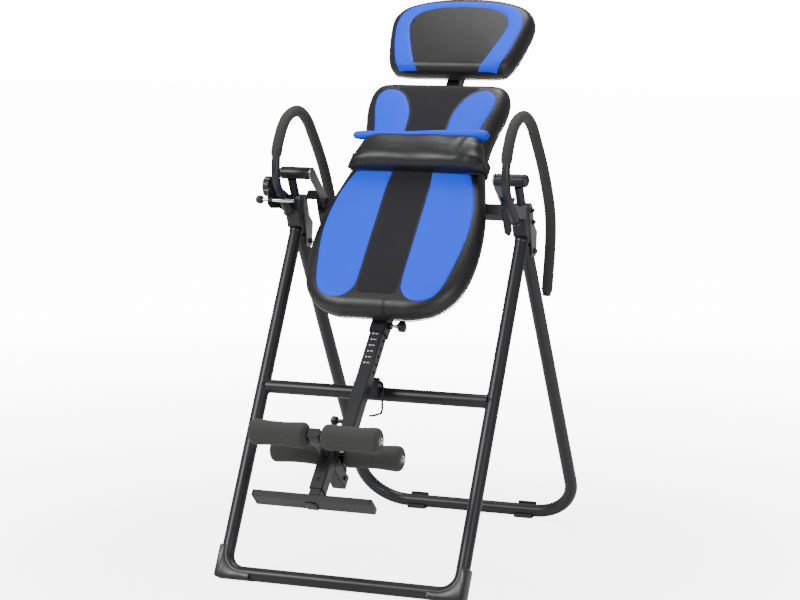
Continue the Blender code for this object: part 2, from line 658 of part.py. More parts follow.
def ankle_arm(bed):
    """The sliding ankle arm: inner slide, stem, upright and front axle."""
    slide_low, slide_high = -0.187, STEM_N - BOOM_SIDE / 2 - GAP
    box("ankle_slide", (INNER_SIDE, INNER_SIDE, slide_high - slide_low), (0.0, CROSS_S, (slide_low + slide_high) / 2),
        "zinc", bed, 0.002)
    stem, middle = square_tube("ankle_stem", BOOM_SIDE, INNER_SIDE + 2 * GAP, -0.952, -0.800, "coat", bed)
    stem.location = (0.0, middle, STEM_N)
    foot_n = STEM_N + BOOM_SIDE / 2 + GAP
    side = [(FRONT_AXLE_S + 0.013, FRONT_AXLE_N + 0.016), (FRONT_AXLE_S - 0.013, FRONT_AXLE_N + 0.016),
            (FRONT_AXLE_S - 0.015, FRONT_AXLE_N - 0.014), (FRONT_AXLE_S - 0.012, foot_n),
            (FRONT_AXLE_S + 0.012, foot_n), (FRONT_AXLE_S + 0.015, FRONT_AXLE_N - 0.014)]
    hole = circle((FRONT_AXLE_S, FRONT_AXLE_N), AXLE_RADIUS + GAP)
    plate("ankle_bracket", [rounded(side, 0.003, 3), hole], 0.030, 0.0, "coat", bed)
    bar("front_axle", AXLE_RADIUS, (-0.1825, FRONT_AXLE_S, FRONT_AXLE_N), (0.1825, FRONT_AXLE_S, FRONT_AXLE_N),
        "chrome", bed, bevel=0.001)


def footrest(bed):
    """The footrest: an inner stem that slides in the ankle stem and a flat bar across its end."""
    length = 0.146
    start = FOOTREST_S + FOOTREST_THICK / 2 + GAP
    box("footrest_stem", (INNER_SIDE, length, INNER_SIDE), (0.0, start + length / 2, STEM_N), "coat", bed, 0.002)
    box("footrest_bar", (2 * FOOTREST_HALF, FOOTREST_THICK, 0.050), (0.0, FOOTREST_S, STEM_N + 0.004), "coat", bed,
        0.003)


def head_post(head):
    """The square post that carries the headrest and slides in the sleeve's upper end."""
    low, high = 0.180, 0.620
    box("head_post", (BOOM_SIDE, high - low, BOOM_SIDE), (0.0, (low + high) / 2, TUBE_N), "coat", head, 0.002)


def build():
    """Make the whole table."""
    datum = empty("datum", ORIGIN_SHIFT)
    front_frame(datum)
    rear_frame(datum)
    hinge_group(datum)
    pivot_housings(datum)
    handles(datum)
    tilt_limiter(datum)
    crossbar_latch(datum)
    bed = empty("bed_axis", (0.0, PIVOT_Y, PIVOT_Z), datum, BED_ANGLE)
    bed_structure(bed)
    cushions(bed, bed)
    boom_group(bed)
    rollers(bed)
    ankle_arm(bed)
    footrest(bed)
    head_post(bed)


clear_scene()
PARTS = collection(COLLECTION_NAME)
CUTTERS = collection("cutters")
build()
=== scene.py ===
"""Looks of a folding inversion table, laid out as an add-on: upholstery, foam, tube, pins and fasteners.

Lengths are metres.  The bed's own axes start at the pivot: X across, S towards the head and N out of the
cushion.
"""

import json
import math

import bmesh
import bpy
import numpy as np
from bpy.props import FloatProperty, FloatVectorProperty, PointerProperty
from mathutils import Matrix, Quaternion, Vector


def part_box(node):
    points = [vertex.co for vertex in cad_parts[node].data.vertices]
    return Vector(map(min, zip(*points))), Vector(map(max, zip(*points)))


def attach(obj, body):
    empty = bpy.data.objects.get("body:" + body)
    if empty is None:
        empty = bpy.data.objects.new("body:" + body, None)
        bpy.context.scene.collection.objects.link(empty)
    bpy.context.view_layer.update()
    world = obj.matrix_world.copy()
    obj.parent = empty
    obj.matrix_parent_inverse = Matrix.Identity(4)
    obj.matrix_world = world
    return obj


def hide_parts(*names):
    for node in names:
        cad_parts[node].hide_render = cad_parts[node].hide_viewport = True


bl_info = {
    "name": "Inversion table maker",
    "version": (1, 0, 0),
    "blender": (4, 5, 0),
    "location": "View3D > Sidebar > Inversion table",
    "description": "Builds the visible pieces of a folding inversion table around its packed frame",
    "category": "Object",
}

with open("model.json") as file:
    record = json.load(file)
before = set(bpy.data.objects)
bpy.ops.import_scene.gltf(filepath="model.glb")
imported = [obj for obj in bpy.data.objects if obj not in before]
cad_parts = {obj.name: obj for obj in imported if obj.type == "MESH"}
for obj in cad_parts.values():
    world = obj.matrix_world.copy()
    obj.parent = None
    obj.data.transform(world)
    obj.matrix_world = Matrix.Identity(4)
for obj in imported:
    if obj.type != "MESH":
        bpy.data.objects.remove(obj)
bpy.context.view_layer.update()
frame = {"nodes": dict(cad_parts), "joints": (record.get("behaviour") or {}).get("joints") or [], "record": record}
JOINTS = {joint["name"]: joint for joint in frame["joints"]}
SLOTS = {part["node"]: part["material_slot"] for part in frame["record"]["subparts"]}

# ---- places: some read from the frame, the others given ----
PIVOT = np.array(JOINTS["bed_tilt"]["pos_m"], float)
ALONG = np.array(JOINTS["boom_height"]["axis"], float)
OUTWARD = np.array(JOINTS["ankle_slide"]["axis"], float)
SIDEWAYS = np.array((1.0, 0.0, 0.0))
BED_AXES = (SIDEWAYS, ALONG, OUTWARD)
LEG_RADIUS = 0.0175
TUBE_RADIUS = 0.0185         # the coated tube as it shows, welds and powder included
FRONT_LOW, FRONT_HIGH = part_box("front_frame")
REAR_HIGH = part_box("rear_frame")[1]
HALF = (FRONT_HIGH.x - FRONT_LOW.x) / 2 - LEG_RADIUS
BASE_Z = FRONT_LOW.z + LEG_RADIUS
FRONT_BASE_Y = FRONT_LOW.y + LEG_RADIUS
REAR_BASE_Y = REAR_HIGH.y - LEG_RADIUS
APEX_Y = PIVOT[1] + 0.051
APEX_Z = 0.9095              # where the centre lines of front and rear legs meet
FRONT_BEND = 0.055
REAR_BEND = 0.130
CROSSBAR_LOW, CROSSBAR_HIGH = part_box("front_crossbar")
CROSSBAR = (CROSSBAR_LOW + CROSSBAR_HIGH) / 2
CROSSBAR_RADIUS = (CROSSBAR_HIGH.z - CROSSBAR_LOW.z) / 2
TUBE_N = -0.151              # centre line of sleeve, boom and headrest post along N
TUBE_HALF = 0.0190           # half the side of the boom and the stem
STEM_N = -0.079
CROSS_S = -0.855
PIN_S = -0.390
FRONT_AXLE = (-0.853, 0.028)     # S and N of the front roller axle
STEM_FACE = STEM_N + TUBE_HALF
CUSHION_FACE = -0.060
CUSHION_MIDDLE = -0.094      # N of the widest ring of a cushion
CUSHION_BACK = -0.123
SIDES = (("left", -1), ("right", 1))


def bed(x, s, n):
    """A place in the bed's own axes, as world points: the pivot plus x across, s along and n outward."""
    x, s, n = np.broadcast_arrays(np.asarray(x, float), s, n)
    return PIVOT + x[..., None] * SIDEWAYS + s[..., None] * ALONG + n[..., None] * OUTWARD


def plan(x, y, z):
    """A place from the apex of the legs, as world points.

    x is from the middle plane, y from the apex and z from the floor.
    """
    x, y, z = np.broadcast_arrays(np.asarray(x, float), y, z)
    return np.stack((PIVOT[0] + x, APEX_Y + y, z), -1)


# ---- colours ----

def linear(hex_colour):
    """An sRGB hex colour as linear red, green and blue."""
    parts = [int(hex_colour[i:i + 2], 16) / 255 for i in (0, 2, 4)]
    return tuple(c / 12.92 if c <= 0.04045 else ((c + 0.055) / 1.055) ** 2.4 for c in parts)


# ---- numpy surfaces ----

def surface(points, around=False, caps=False):
    """Four-sided faces over a (rows, columns) grid of points.

    around joins the last column to the first, and caps close both end rows.
    """
    rows, columns = points.shape[:2]
    index = np.arange(rows * columns).reshape(rows, columns)
    right = np.roll(index, -1, axis=1) if around else index[:, 1:]
    left = index if around else index[:, :-1]
    quads = np.stack((left[:-1], right[:-1], right[1:], left[1:]), -1).reshape(-1, 4).tolist()
    if caps:
        quads.append(index[0][::-1].tolist())
        quads.append(index[-1].tolist())
    return points.reshape(-1, 3), quads


def joined(*shapes):
    """Several (points, faces) shapes as one."""
    points, faces, offset = [], [], 0
    for place, face in shapes:
        points.append(np.asarray(place, float))
        faces += [[i + offset for i in f] for f in face]
        offset += len(place)
    return np.concatenate(points), faces


def unit(vectors):
    """Vectors at length one."""
    return vectors / np.maximum(np.linalg.norm(vectors, axis=-1, keepdims=True), 1e-12)


def off_axis(axis):
    """Z, or Y where the axis is close to Z."""
    return np.array((0.0, 0.0, 1.0)) if abs(axis[2]) < 0.9 else np.array((0.0, 1.0, 0.0))


def square_to(axis):
    """Two unit vectors square to an axis and to each other, by cross products."""
    first = unit(np.cross(axis, off_axis(axis)))
    return first, np.cross(axis, first)


def turns(count):
    """Angles of evenly spaced points on a circle."""
    return np.linspace(0, 2 * math.pi, count, endpoint=False)


def side_frames(path):
    """Two unit vectors square to a path at each point, carried along it without twist."""
    tangent = unit(np.gradient(path, axis=0))
    start = off_axis(tangent[0])
    first = [unit(start - tangent[0] * (start @ tangent[0]))]
    for t in tangent[1:]:
        first.append(unit(first[-1] - t * (first[-1] @ t)))
    first = np.array(first)
    return first, np.cross(tangent, first)


def tube(path, radius, sides=32):
    """A circle carried along a path, square to it; its radius may change along the path."""
    path = np.asarray(path, float)
    first, second = side_frames(path)
    angle = turns(sides)[None, :, None]
    ring = np.cos(angle) * first[:, None] + np.sin(angle) * second[:, None]
    radius = np.broadcast_to(radius, len(path))[:, None, None]
    return surface(path[:, None] + ring * radius, around=True, caps=True)


def lathe(profile, origin, axis, sides=40, lobes=0, depth=0.0):
    """A profile of (radius, distance) turned about an axis.

    A cosine of the angle ripples the radius: lobes is how many ribs there are, and depth their share of it.
    """
    profile = np.asarray(profile, float)
    axis = unit(np.asarray(axis, float))
    a, b = square_to(axis)
    angle = turns(sides)
    ripple = 1 + depth * np.cos(lobes * angle)[None]
    radius = profile[:, :1] * ripple
    ring = (radius * np.cos(angle))[..., None] * a + (radius * np.sin(angle))[..., None] * b
    return surface(np.asarray(origin) + profile[:, 1, None, None] * axis + ring, around=True, caps=True)


def soft_square():
    """Offsets of a square with eased corners: a superellipse, where |u|^10 and |v|^10 add up to one."""
    angle = turns(48)
    u, v = np.cos(angle), np.sin(angle)
    return np.sign(u) * np.abs(u) ** 0.2, np.sign(v) * np.abs(v) ** 0.2


def block(size, place, axes=None, edge=0.0012):
    """A box with softened edges: a soft square, drawn in at both ends, carried along the first axis."""
    axes = np.eye(3) if axes is None else np.asarray(axes, float)
    a, b, c = (v / 2 for v in size)
    u, v = soft_square()
    steps = np.array([(-a, edge), (-a + edge * 0.3, edge * 0.3), (-a + edge, 0), (a - edge, 0),
                      (a - edge * 0.3, edge * 0.3), (a, edge)])
    along = np.broadcast_to(steps[:, 0, None], (len(steps), len(u)))
    across = (b - steps[:, 1, None]) * u
    up = (c - steps[:, 1, None]) * v
    points = along[..., None] * axes[0] + across[..., None] * axes[1] + up[..., None] * axes[2]
    return surface(np.asarray(place) + points, around=True, caps=True)


def bent(points, radius, steps=16):
    """A run of straight lines with its inner corners replaced by arcs of one radius."""
    points = [np.asarray(p, float) for p in points]
    out = [points[0]]
    for before, here, after in zip(points, points[1:], points[2:]):
        b, a = unit(before - here), unit(after - here)
        half = math.acos(np.clip(a @ b, -1, 1)) / 2
        middle = here + unit(a + b) * radius / math.sin(half)
        start = here + b * radius / math.tan(half) - middle
        end = here + a * radius / math.tan(half) - middle
        turn = math.pi - 2 * half
        t = np.linspace(0, 1, steps)[:, None]
        out.append(middle + (start * np.sin((1 - t) * turn) + end * np.sin(t * turn)) / math.sin(turn))
    out.append(points[-1])
    return np.vstack(out)


def through(points, per_span=8, closed=False):
    """A smooth Catmull-Rom curve through points."""
    points = np.asarray(points, float)
    if closed:
        ring = np.vstack((points[-1:], points, points[:2]))
    else:
        ring = np.vstack((2 * points[0] - points[1], points, 2 * points[-1] - points[-2]))
    t = np.linspace(0, 1, per_span, endpoint=False)[None, :, None]
    p0, p1, p2, p3 = (ring[i:len(ring) - 3 + i, None] for i in range(4))
    curve = 0.5 * (2 * p1 + (p2 - p0) * t + (2 * p0 - 5 * p1 + 4 * p2 - p3) * t ** 2
                   + (3 * p1 - p0 - 3 * p2 + p3) * t ** 3)
    curve = curve.reshape(-1, points.shape[1])
    return curve if closed else np.vstack((curve, points[-1:]))


def spaced(curve, count, closed=False):
    """A curve's points at equal distances along it."""
    run = np.vstack((curve, curve[:1])) if closed else curve
    length = np.concatenate(([0], np.cumsum(np.linalg.norm(np.diff(run, axis=0), axis=1))))
    at = np.linspace(0, length[-1], count, endpoint=not closed)
    return np.stack([np.interp(at, length, run[:, k]) for k in range(run.shape[1])], -1)


def distance(points, curve):
    """Shortest distance from each point to a closed curve's dense points."""
    flat = points.reshape(-1, 2)
    out = np.empty(len(flat))
    for low in range(0, len(flat), 4096):
        part = flat[low:low + 4096]
        out[low:low + 4096] = np.sqrt(((part[:, None] - curve[None]) ** 2).sum(-1)).min(1)
    return out.reshape(points.shape[:-1])


# ---- objects ----

def piece(name, shape, finish, body, replaced=(), sharp=35.0, weld=0.0):
    """Put a shape in the scene as one piece that rides on a body, faces outward, with its finish."""
    points, faces = shape
    mesh = bpy.data.meshes.new(name)
    mesh.from_pydata(np.asarray(points).tolist(), [], faces)
    bm = bmesh.new()
    bm.from_mesh(mesh)
    if weld:
        bmesh.ops.remove_doubles(bm, verts=bm.verts, dist=weld)
        bmesh.ops.dissolve_degenerate(bm, edges=bm.edges, dist=1e-7)
    bmesh.ops.recalc_face_normals(bm, faces=bm.faces)
    bm.to_mesh(mesh)
    bm.free()
    mesh.shade_smooth()
    mesh.set_sharp_from_angle(angle=math.radians(sharp))
    made = bpy.data.objects.new(name, mesh)
    bpy.context.scene.collection.objects.link(made)
    mesh.materials.append(MATERIALS[finish]())
    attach(made, body)
    if replaced:
        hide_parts(*replaced)
    return made


# ---- materials ----

WAVE_BANDS = 3.14            # about how many bands to a metre a Wave texture of scale 1 draws


def put(tree, kind, settings=None, links=None):
    """Add one node with its values, and link its inputs from other nodes' outputs."""
    made = tree.nodes.new(kind)
    for key, value in (settings or {}).items():
        if hasattr(made, key) and key not in made.inputs:
            setattr(made, key, value)
        else:
            made.inputs[key].default_value = value
    for key, (source, output) in (links or {}).items():
        tree.links.new(source.outputs[output], made.inputs[key])
    return made


def surface_material(name, colour, roughness, metallic=0.0, grain=0.001, bump=0.1, depth=0.0001,
                     pattern="noise", tint=0.12, spread=0.08, patch=0.05, **sockets):
    """A Principled surface with one fine relief, and slow clouds of shade and gloss.

    grain is the real size of the relief's pattern and patch that of the clouds; tint and spread are how far
    the clouds change the colour and the roughness.
    """
    found = bpy.data.materials.get(name)
    if found:
        return found
    made = bpy.data.materials.new(name)
    made.use_nodes = True
    tree = made.node_tree
    shader = tree.nodes["Principled BSDF"]
    shader.inputs["Metallic"].default_value = metallic
    for key, value in sockets.items():
        shader.inputs[key.replace("_", " ").title().replace("Ior", "IOR")].default_value = value
    place = put(tree, "ShaderNodeTexCoord")
    clouds = put(tree, "ShaderNodeTexNoise", {"Scale": 1 / patch, "Detail": 4.0},
                 {"Vector": (place, "Object")})
    dark = tuple(c * (1 - tint) for c in colour)
    light = tuple(min(1.0, c * (1 + tint)) for c in colour)
    shade = put(tree, "ShaderNodeMix", {"data_type": "RGBA"}, {0: (clouds, "Fac")})
    shade.inputs[6].default_value = (*dark, 1.0)
    shade.inputs[7].default_value = (*light, 1.0)
    tree.links.new(shade.outputs[2], shader.inputs["Base Color"])
    gloss = put(tree, "ShaderNodeMapRange",
                {"To Min": max(0.02, roughness - spread), "To Max": roughness + spread},
                {"Value": (clouds, "Fac")})
    tree.links.new(gloss.outputs["Result"], shader.inputs["Roughness"])
    if pattern == "leather":
        fine = put(tree, "ShaderNodeTexVoronoi", {"feature": "DISTANCE_TO_EDGE", "Scale": 1 / grain},
                   {"Vector": (place, "Object")})
        height = put(tree, "ShaderNodeMapRange", {"From Max": 0.16}, {"Value": (fine, "Distance")})
        source = (height, "Result")
    elif pattern == "weave":
        scale = 1 / grain / WAVE_BANDS
        waves = [put(tree, "ShaderNodeTexWave",
                     {"bands_direction": axis, "Scale": scale, "Distortion": 0.6, "Detail": 1.0},
                     {"Vector": (place, "Object")}) for axis in ("X", "Z")]
        both = put(tree, "ShaderNodeMath", {"operation": "MAXIMUM"},
                   {0: (waves[0], "Fac"), 1: (waves[1], "Fac")})
        source = (both, "Value")
    elif pattern == "cells":
        fine = put(tree, "ShaderNodeTexVoronoi", {"Scale": 1 / grain}, {"Vector": (place, "Object")})
        source = (fine, "Distance")
    elif pattern == "brushed":
        stretch = put(tree, "ShaderNodeMapping", {"Scale": (40.0, 1.0, 1.0)}, {"Vector": (place, "Object")})
        fine = put(tree, "ShaderNodeTexNoise", {"Scale": 0.04 / grain, "Detail": 3.0},
                   {"Vector": (stretch, "Vector")})
        source = (fine, "Fac")
    else:
        fine = put(tree, "ShaderNodeTexNoise", {"Scale": 1 / grain, "Detail": 2.0},
                   {"Vector": (place, "Object")})
        source = (fine, "Fac")
    relief = put(tree, "ShaderNodeBump", {"Strength": bump, "Distance": depth}, {"Height": source})
    tree.links.new(relief.outputs["Normal"], shader.inputs["Normal"])
    return made


def powder_coat():
    """Baked epoxy-polyester powder on steel tube: satin, with a faint orange peel of about 1.5 mm."""
    return surface_material("satin_powder_coat", tuple(palette().coat), 0.38, grain=0.0015, bump=0.22,
                            depth=0.00012, patch=0.08, spread=0.05, specular_ior_level=0.40)


def bright_chrome():
    """Polished chrome plate on steel: a near mirror with slight clouding."""
    return surface_material("bright_chrome", linear("D9DADC"), 0.10, 1.0, grain=0.004, bump=0.03,
                            spread=0.05, tint=0.04)


def zinc_plate():
    """Bright zinc on pressed steel: a soft grey metal with a fine drawn grain."""
    return surface_material("zinc_plate", linear("8A8B8A"), 0.40, 1.0, grain=0.0006, bump=0.12,
                            pattern="brushed", patch=0.02, spread=0.09)


def grip_foam():
    """Closed-cell NBR foam, skinned: matt, with cells of about 1.6 mm drawn coarse enough to show."""
    return surface_material("nbr_foam", tuple(palette().foam), 0.82, grain=0.0016, bump=0.35, depth=0.00025,
                            pattern="cells", sheen_weight=0.06, sheen_roughness=0.6, patch=0.03,
                            specular_ior_level=0.3)


def black_vinyl():
    """PU-coated upholstery cloth: soft gloss over a leather grain of about 1.5 mm."""
    return surface_material("black_pu_leather", tuple(palette().vinyl), 0.42, grain=0.0015, bump=0.16,
                            depth=0.00016, pattern="leather", patch=0.06, specular_ior_level=0.45)


def blue_vinyl():
    """The same PU cloth, dyed blue: a softer gloss, so that the dye shows."""
    return surface_material("blue_pu_leather", tuple(palette().blue), 0.48, grain=0.0015, bump=0.14,
                            depth=0.00014, pattern="leather", tint=0.05, patch=0.10, specular_ior_level=0.15)


def black_cloth():
    """Woven polyester with a 1.2 mm thread spacing: matt, with a little fuzz."""
    return surface_material("black_polyester_weave", tuple(palette().cloth), 0.80, grain=0.0012, bump=0.35,
                            depth=0.0002, pattern="weave", sheen_weight=0.06, sheen_roughness=0.5,
                            specular_ior_level=0.2)


def dust_cover():
    """Spun-bonded lining on the back of the boards: matt and slightly fibrous."""
    return surface_material("spunbond_lining", linear("1E1E20"), 0.9, grain=0.0009, bump=0.4, depth=0.0002)


def moulded_rubber():
    """Moulded SBR rubber: matt black."""
    return surface_material("moulded_rubber", linear("1C1C1C"), 0.68, grain=0.0012, bump=0.2, depth=0.0001)


def black_abs():
    """Injection-moulded ABS with a fine spark texture."""
    return surface_material("moulded_abs", linear("161617"), 0.36, grain=0.0008, bump=0.15, depth=0.00008,
                            patch=0.03)


def black_oxide():
    """Black-oxide steel fasteners: a dark metal with an oily sheen."""
    return surface_material("black_oxide_steel", linear("3A3A3C"), 0.34, 1.0, grain=0.001, bump=0.1,
                            patch=0.01)


def white_ink():
    """Pad-printed white ink: flat and opaque."""
    return surface_material("white_pad_print", linear("E8E8E6"), 0.55, grain=0.0007, bump=0.15,
                            depth=0.00005, tint=0.04)


MATERIALS = {
    "coat": powder_coat, "chrome": bright_chrome, "zinc": zinc_plate, "foam": grip_foam,
    "vinyl": black_vinyl, "blue": blue_vinyl, "cloth": black_cloth, "lining": dust_cover,
    "rubber": moulded_rubber, "plastic": black_abs, "oxide": black_oxide, "ink": white_ink,
}


def palette():
    """The colours in the sidebar."""
    return bpy.context.scene.inversion_colours


def sizes():
    """The sizes in the sidebar."""
    return bpy.context.scene.inversion_sizes


# ---- frame tubes ----

def leg_y(base_y, z):
    """Y of a leg's centre line at a height, on the straight line from the apex to a base bar."""
    return APEX_Y + (base_y - APEX_Y) * (APEX_Z - z) / (APEX_Z - BASE_Z)


def u_frame(base_y, top, bend):
    """Centre line of a U of tube: down one leg, along the base bar and up the other leg."""
    left, right = PIVOT[0] - HALF, PIVOT[0] + HALF
    y = leg_y(base_y, top)
    return bent([(left, y, top), (left, base_y, BASE_Z), (right, base_y, BASE_Z), (right, y, top)], bend)


def weld_bead(path, radius=0.0022):
    """A weld bead round a closed path: a thin tube whose radius ripples with a sine, as its scales do."""
    path = spaced(np.asarray(path, float), 90, closed=True)
    path = np.vstack((path, path[:1]))
    ripple = radius * (1 + 0.16 * np.sin(np.arange(len(path)) * 1.9))
    return tube(path, ripple, 10)


def front_leg():
    """The front legs' direction, from the base bar to the apex."""
    return unit(np.array((0.0, APEX_Y - FRONT_BASE_Y, APEX_Z - BASE_Z)))


def crossbar_joint(sign):
    """The curve where the crossbar meets a leg: a circle about the bar, pushed to the leg's round skin."""
    leg = front_leg()
    square = np.cross(SIDEWAYS, leg)
    angle = turns(60)
    offset = CROSSBAR_RADIUS * np.sin(angle)
    x = HALF - np.sqrt(np.maximum(TUBE_RADIUS ** 2 - offset ** 2, 0.004 ** 2))
    return (np.array(CROSSBAR) + (sign * x)[:, None] * SIDEWAYS
            + (CROSSBAR_RADIUS * np.cos(angle))[:, None] * leg + offset[:, None] * square)


def make_frame_tubes():
    """Front U, rear U, crossbar, its weld beads and the collars at the leg tops."""
    top = APEX_Z - 0.0185
    front = u_frame(FRONT_BASE_Y, top, FRONT_BEND)
    piece("front_tube", tube(front, TUBE_RADIUS, 48), "coat", "frame", ["front_frame"])
    fold = JOINTS["frame_fold"]["pos_m"]
    rear = u_frame(REAR_BASE_Y, fold[2] + 0.022, REAR_BEND)
    piece("rear_tube", tube(rear, TUBE_RADIUS, 48), "coat", "rear_frame", ["rear_frame"])
    reach = HALF - LEG_RADIUS + 0.004
    middle = np.array(CROSSBAR)
    bar = tube(np.linspace(middle - reach * SIDEWAYS, middle + reach * SIDEWAYS, 5), CROSSBAR_RADIUS, 44)
    piece("crossbar_tube", bar, "coat", "frame", ["front_crossbar"])
    beads = [weld_bead(crossbar_joint(sign)) for _, sign in SIDES]
    piece("crossbar_welds", joined(*beads), "coat", "frame", sharp=80)
    leg = unit(front[0] - front[1])
    r = TUBE_RADIUS
    ring = [(r - 0.001, -0.010), (r + 0.0006, -0.0095), (r + 0.0014, -0.007), (r + 0.0014, -0.001),
            (r + 0.0006, 0.0006), (r - 0.001, 0.001)]
    collars = [lathe(ring, end, leg) for end in (front[0], front[-1])]
    piece("leg_collars", joined(*collars), "plastic", "frame")


# ---- feet ----

def corner_cover(sign):
    """A cover over the outside of a base bend: an L outline in the leg's plane, extruded with rounded edges.

    The outside corner is nearly square, the inside edge follows the bend's centre line and the sole is flat.
    """
    leg = front_leg()
    corner = np.array((PIVOT[0] + sign * HALF, FRONT_BASE_Y, BASE_Z))
    turn = np.linspace(0, math.pi / 2, 16)
    quarter = np.stack((1 - np.sin(turn), 1 - np.cos(turn)), -1)
    out, reach, rise = 0.0200, 0.084, 0.070
    round_corner = 0.009 * quarter[::-1] - out
    outline = np.vstack(([(reach, -out), (reach, -0.001)], FRONT_BEND * quarter,
                         [(-0.001, rise), (-out, rise)], round_corner))
    outline = spaced(outline, 160, closed=True)
    along = unit(np.roll(outline, -2, axis=0) - np.roll(outline, 2, axis=0))
    inward = np.stack((-along[:, 1], along[:, 0]), -1)
    half, edge = 0.0205, 0.003
    rows = []
    for height, inset in ((-half, edge), (-half + 0.001, 0.001), (-half + edge, 0.0), (half - edge, 0.0),
                          (half - 0.001, 0.001), (half, edge)):
        flat = outline + inward * inset
        rows.append(corner - sign * flat[:, :1] * SIDEWAYS + flat[:, 1:] * leg
                    + height * np.cross(SIDEWAYS, leg))
    points, faces = surface(np.stack(rows), around=True, caps=True)
    points[:, 2] = np.maximum(points[:, 2], 0.0)
    return points, faces


def make_feet():
    """Front corner covers over the bends, and pads with a rear lip under the rear base bar."""
    for side, sign in SIDES:
        piece("corner_cover_" + side, corner_cover(sign), "plastic", "frame",
              ["front_foot_" + side])
        low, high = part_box("rear_foot_" + side)
        x = (low.x + high.x) / 2
        pad = block((0.056, 0.044, 0.013), (x, REAR_BASE_Y, 0.0065), edge=0.002)
        lip = block((0.056, 0.004, 0.036), (x + sign * 0.002, REAR_BASE_Y + 0.0200, 0.026), edge=0.001)
        piece("base_pad_" + side, joined(pad, lip), "rubber", "rear_frame", ["rear_foot_" + side])


# ---- handles ----

HANDLE_ROUTE = ((-0.056, 0.938), (-0.098, 0.978), (-0.138, 1.022), (-0.150, 1.066), (-0.139, 1.131),
                (-0.088, 1.200), (-0.012, 1.224), (0.052, 1.203), (0.100, 1.156), (0.172, 1.066),
                (0.226, 0.972), (0.243, 0.908), (0.240, 0.842), (0.227, 0.774), (0.215, 0.716))


def make_handles():
    """Bent steel handles, foam sleeves with rolled ends, and the weld where each meets its bracket."""
    route = np.array(HANDLE_ROUTE)
    for side, sign in SIDES:
        path = spaced(through(plan(sign * HALF, route[:, 0], route[:, 1]), 12), 260)
        grip_start, weld_at = 52, 3
        piece("handle_tube_" + side, tube(path, sizes().handle_radius, 28), "coat", "frame",
              ["handle_" + side])
        grip = path[grip_start:-1]
        roll = np.ones(len(grip))
        roll[:4] = (0.80, 0.93, 0.985, 1.0)
        roll[-4:] = (1.0, 0.985, 0.93, 0.80)
        piece("foam_grip_" + side, tube(grip, sizes().grip_radius * roll, 36), "foam", "frame",
              ["grip_" + side])
        first, second = (across[weld_at] for across in side_frames(path))
        angle = turns(40)[:, None]
        skin = sizes().handle_radius + 0.0006
        ring = path[weld_at] + (np.cos(angle) * first + np.sin(angle) * second) * skin
        piece("handle_weld_" + side, weld_bead(ring), "coat", "frame", sharp=80)


# ---- cushions ----

# Outlines as (x, s); a half runs up the right side from the bottom middle to the top middle.
BACKREST_HALF = ((0.0, -0.400), (0.060, -0.400), (0.110, -0.3985), (0.168, -0.378), (0.214, -0.330),
                 (0.237, -0.258), (0.2425, -0.166), (0.233, -0.070), (0.212, 0.020), (0.193, 0.096),
                 (0.189, 0.165), (0.195, 0.225), (0.2075, 0.290), (0.2075, 0.345), (0.192, 0.378),
                 (0.158, 0.391), (0.080, 0.392), (0.0, 0.392))
HEADREST_HALF = ((0.0, 0.436), (0.070, 0.436), (0.136, 0.437), (0.170, 0.446), (0.190, 0.475),
                 (0.205, 0.533), (0.216, 0.606), (0.2115, 0.644), (0.184, 0.678), (0.130, 0.700),
                 (0.060, 0.712), (0.0, 0.714))
LOWER_LOBE = ((0.0625, 0.100), (0.0625, 0.000), (0.0625, -0.150), (0.0625, -0.300), (0.070, -0.338),
              (0.100, -0.364), (0.148, -0.360), (0.180, -0.325), (0.199, -0.245), (0.211, -0.155),
              (0.208, -0.070), (0.194, 0.000), (0.170, 0.060), (0.155, 0.100))
UPPER_LOBE = ((0.0600, 0.120), (0.0600, 0.200), (0.0630, 0.262), (0.0780, 0.306), (0.1000, 0.338),
              (0.1300, 0.355), (0.1600, 0.352), (0.1780, 0.328), (0.1770, 0.290), (0.1640, 0.240),
              (0.1540, 0.190), (0.1500, 0.120))
CENTRE_HALF = ((0.0, -0.352), (0.040, -0.352), (0.058, -0.346), (0.0612, -0.325), (0.0618, -0.290),
               (0.0618, -0.100), (0.0618, 0.100), (0.0592, 0.200), (0.0622, 0.263), (0.0770, 0.3075),
               (0.0985, 0.340), (0.1260, 0.3600), (0.1000, 0.3735), (0.0, 0.3735))
BAND_OUTER = ((0.150, 0.4395), (0.162, 0.463), (0.180, 0.520), (0.191, 0.580), (0.190, 0.620),
              (0.178, 0.650), (0.147, 0.672), (0.090, 0.685), (0.0, 0.690))
BAND_INNER = ((0.091, 0.4395), (0.106, 0.468), (0.130, 0.530), (0.146, 0.580), (0.147, 0.604),
              (0.139, 0.627), (0.115, 0.647), (0.070, 0.660), (0.0, 0.665))


WELD = 2e-5                  # points closer than this are one, at seams and poles
TUCK = 0.0011                # how far a sewn panel's rim lies under the face round it
PUFF = 0.0045                # how quickly the panel rises from its rim
PANEL_DEPTH = 0.0035         # how far its hidden side lies under the face
WELT_INSET, WELT_N, WELT_RADIUS = 0.0045, -0.1135, 0.0016


def whole(half):
    """A smooth closed outline from its right half and the mirror image of that."""
    half = np.asarray(half, float)
    mirror = half[::-1][1:-1] * (-1, 1)
    return through(np.vstack((half, mirror)), 12, closed=True)


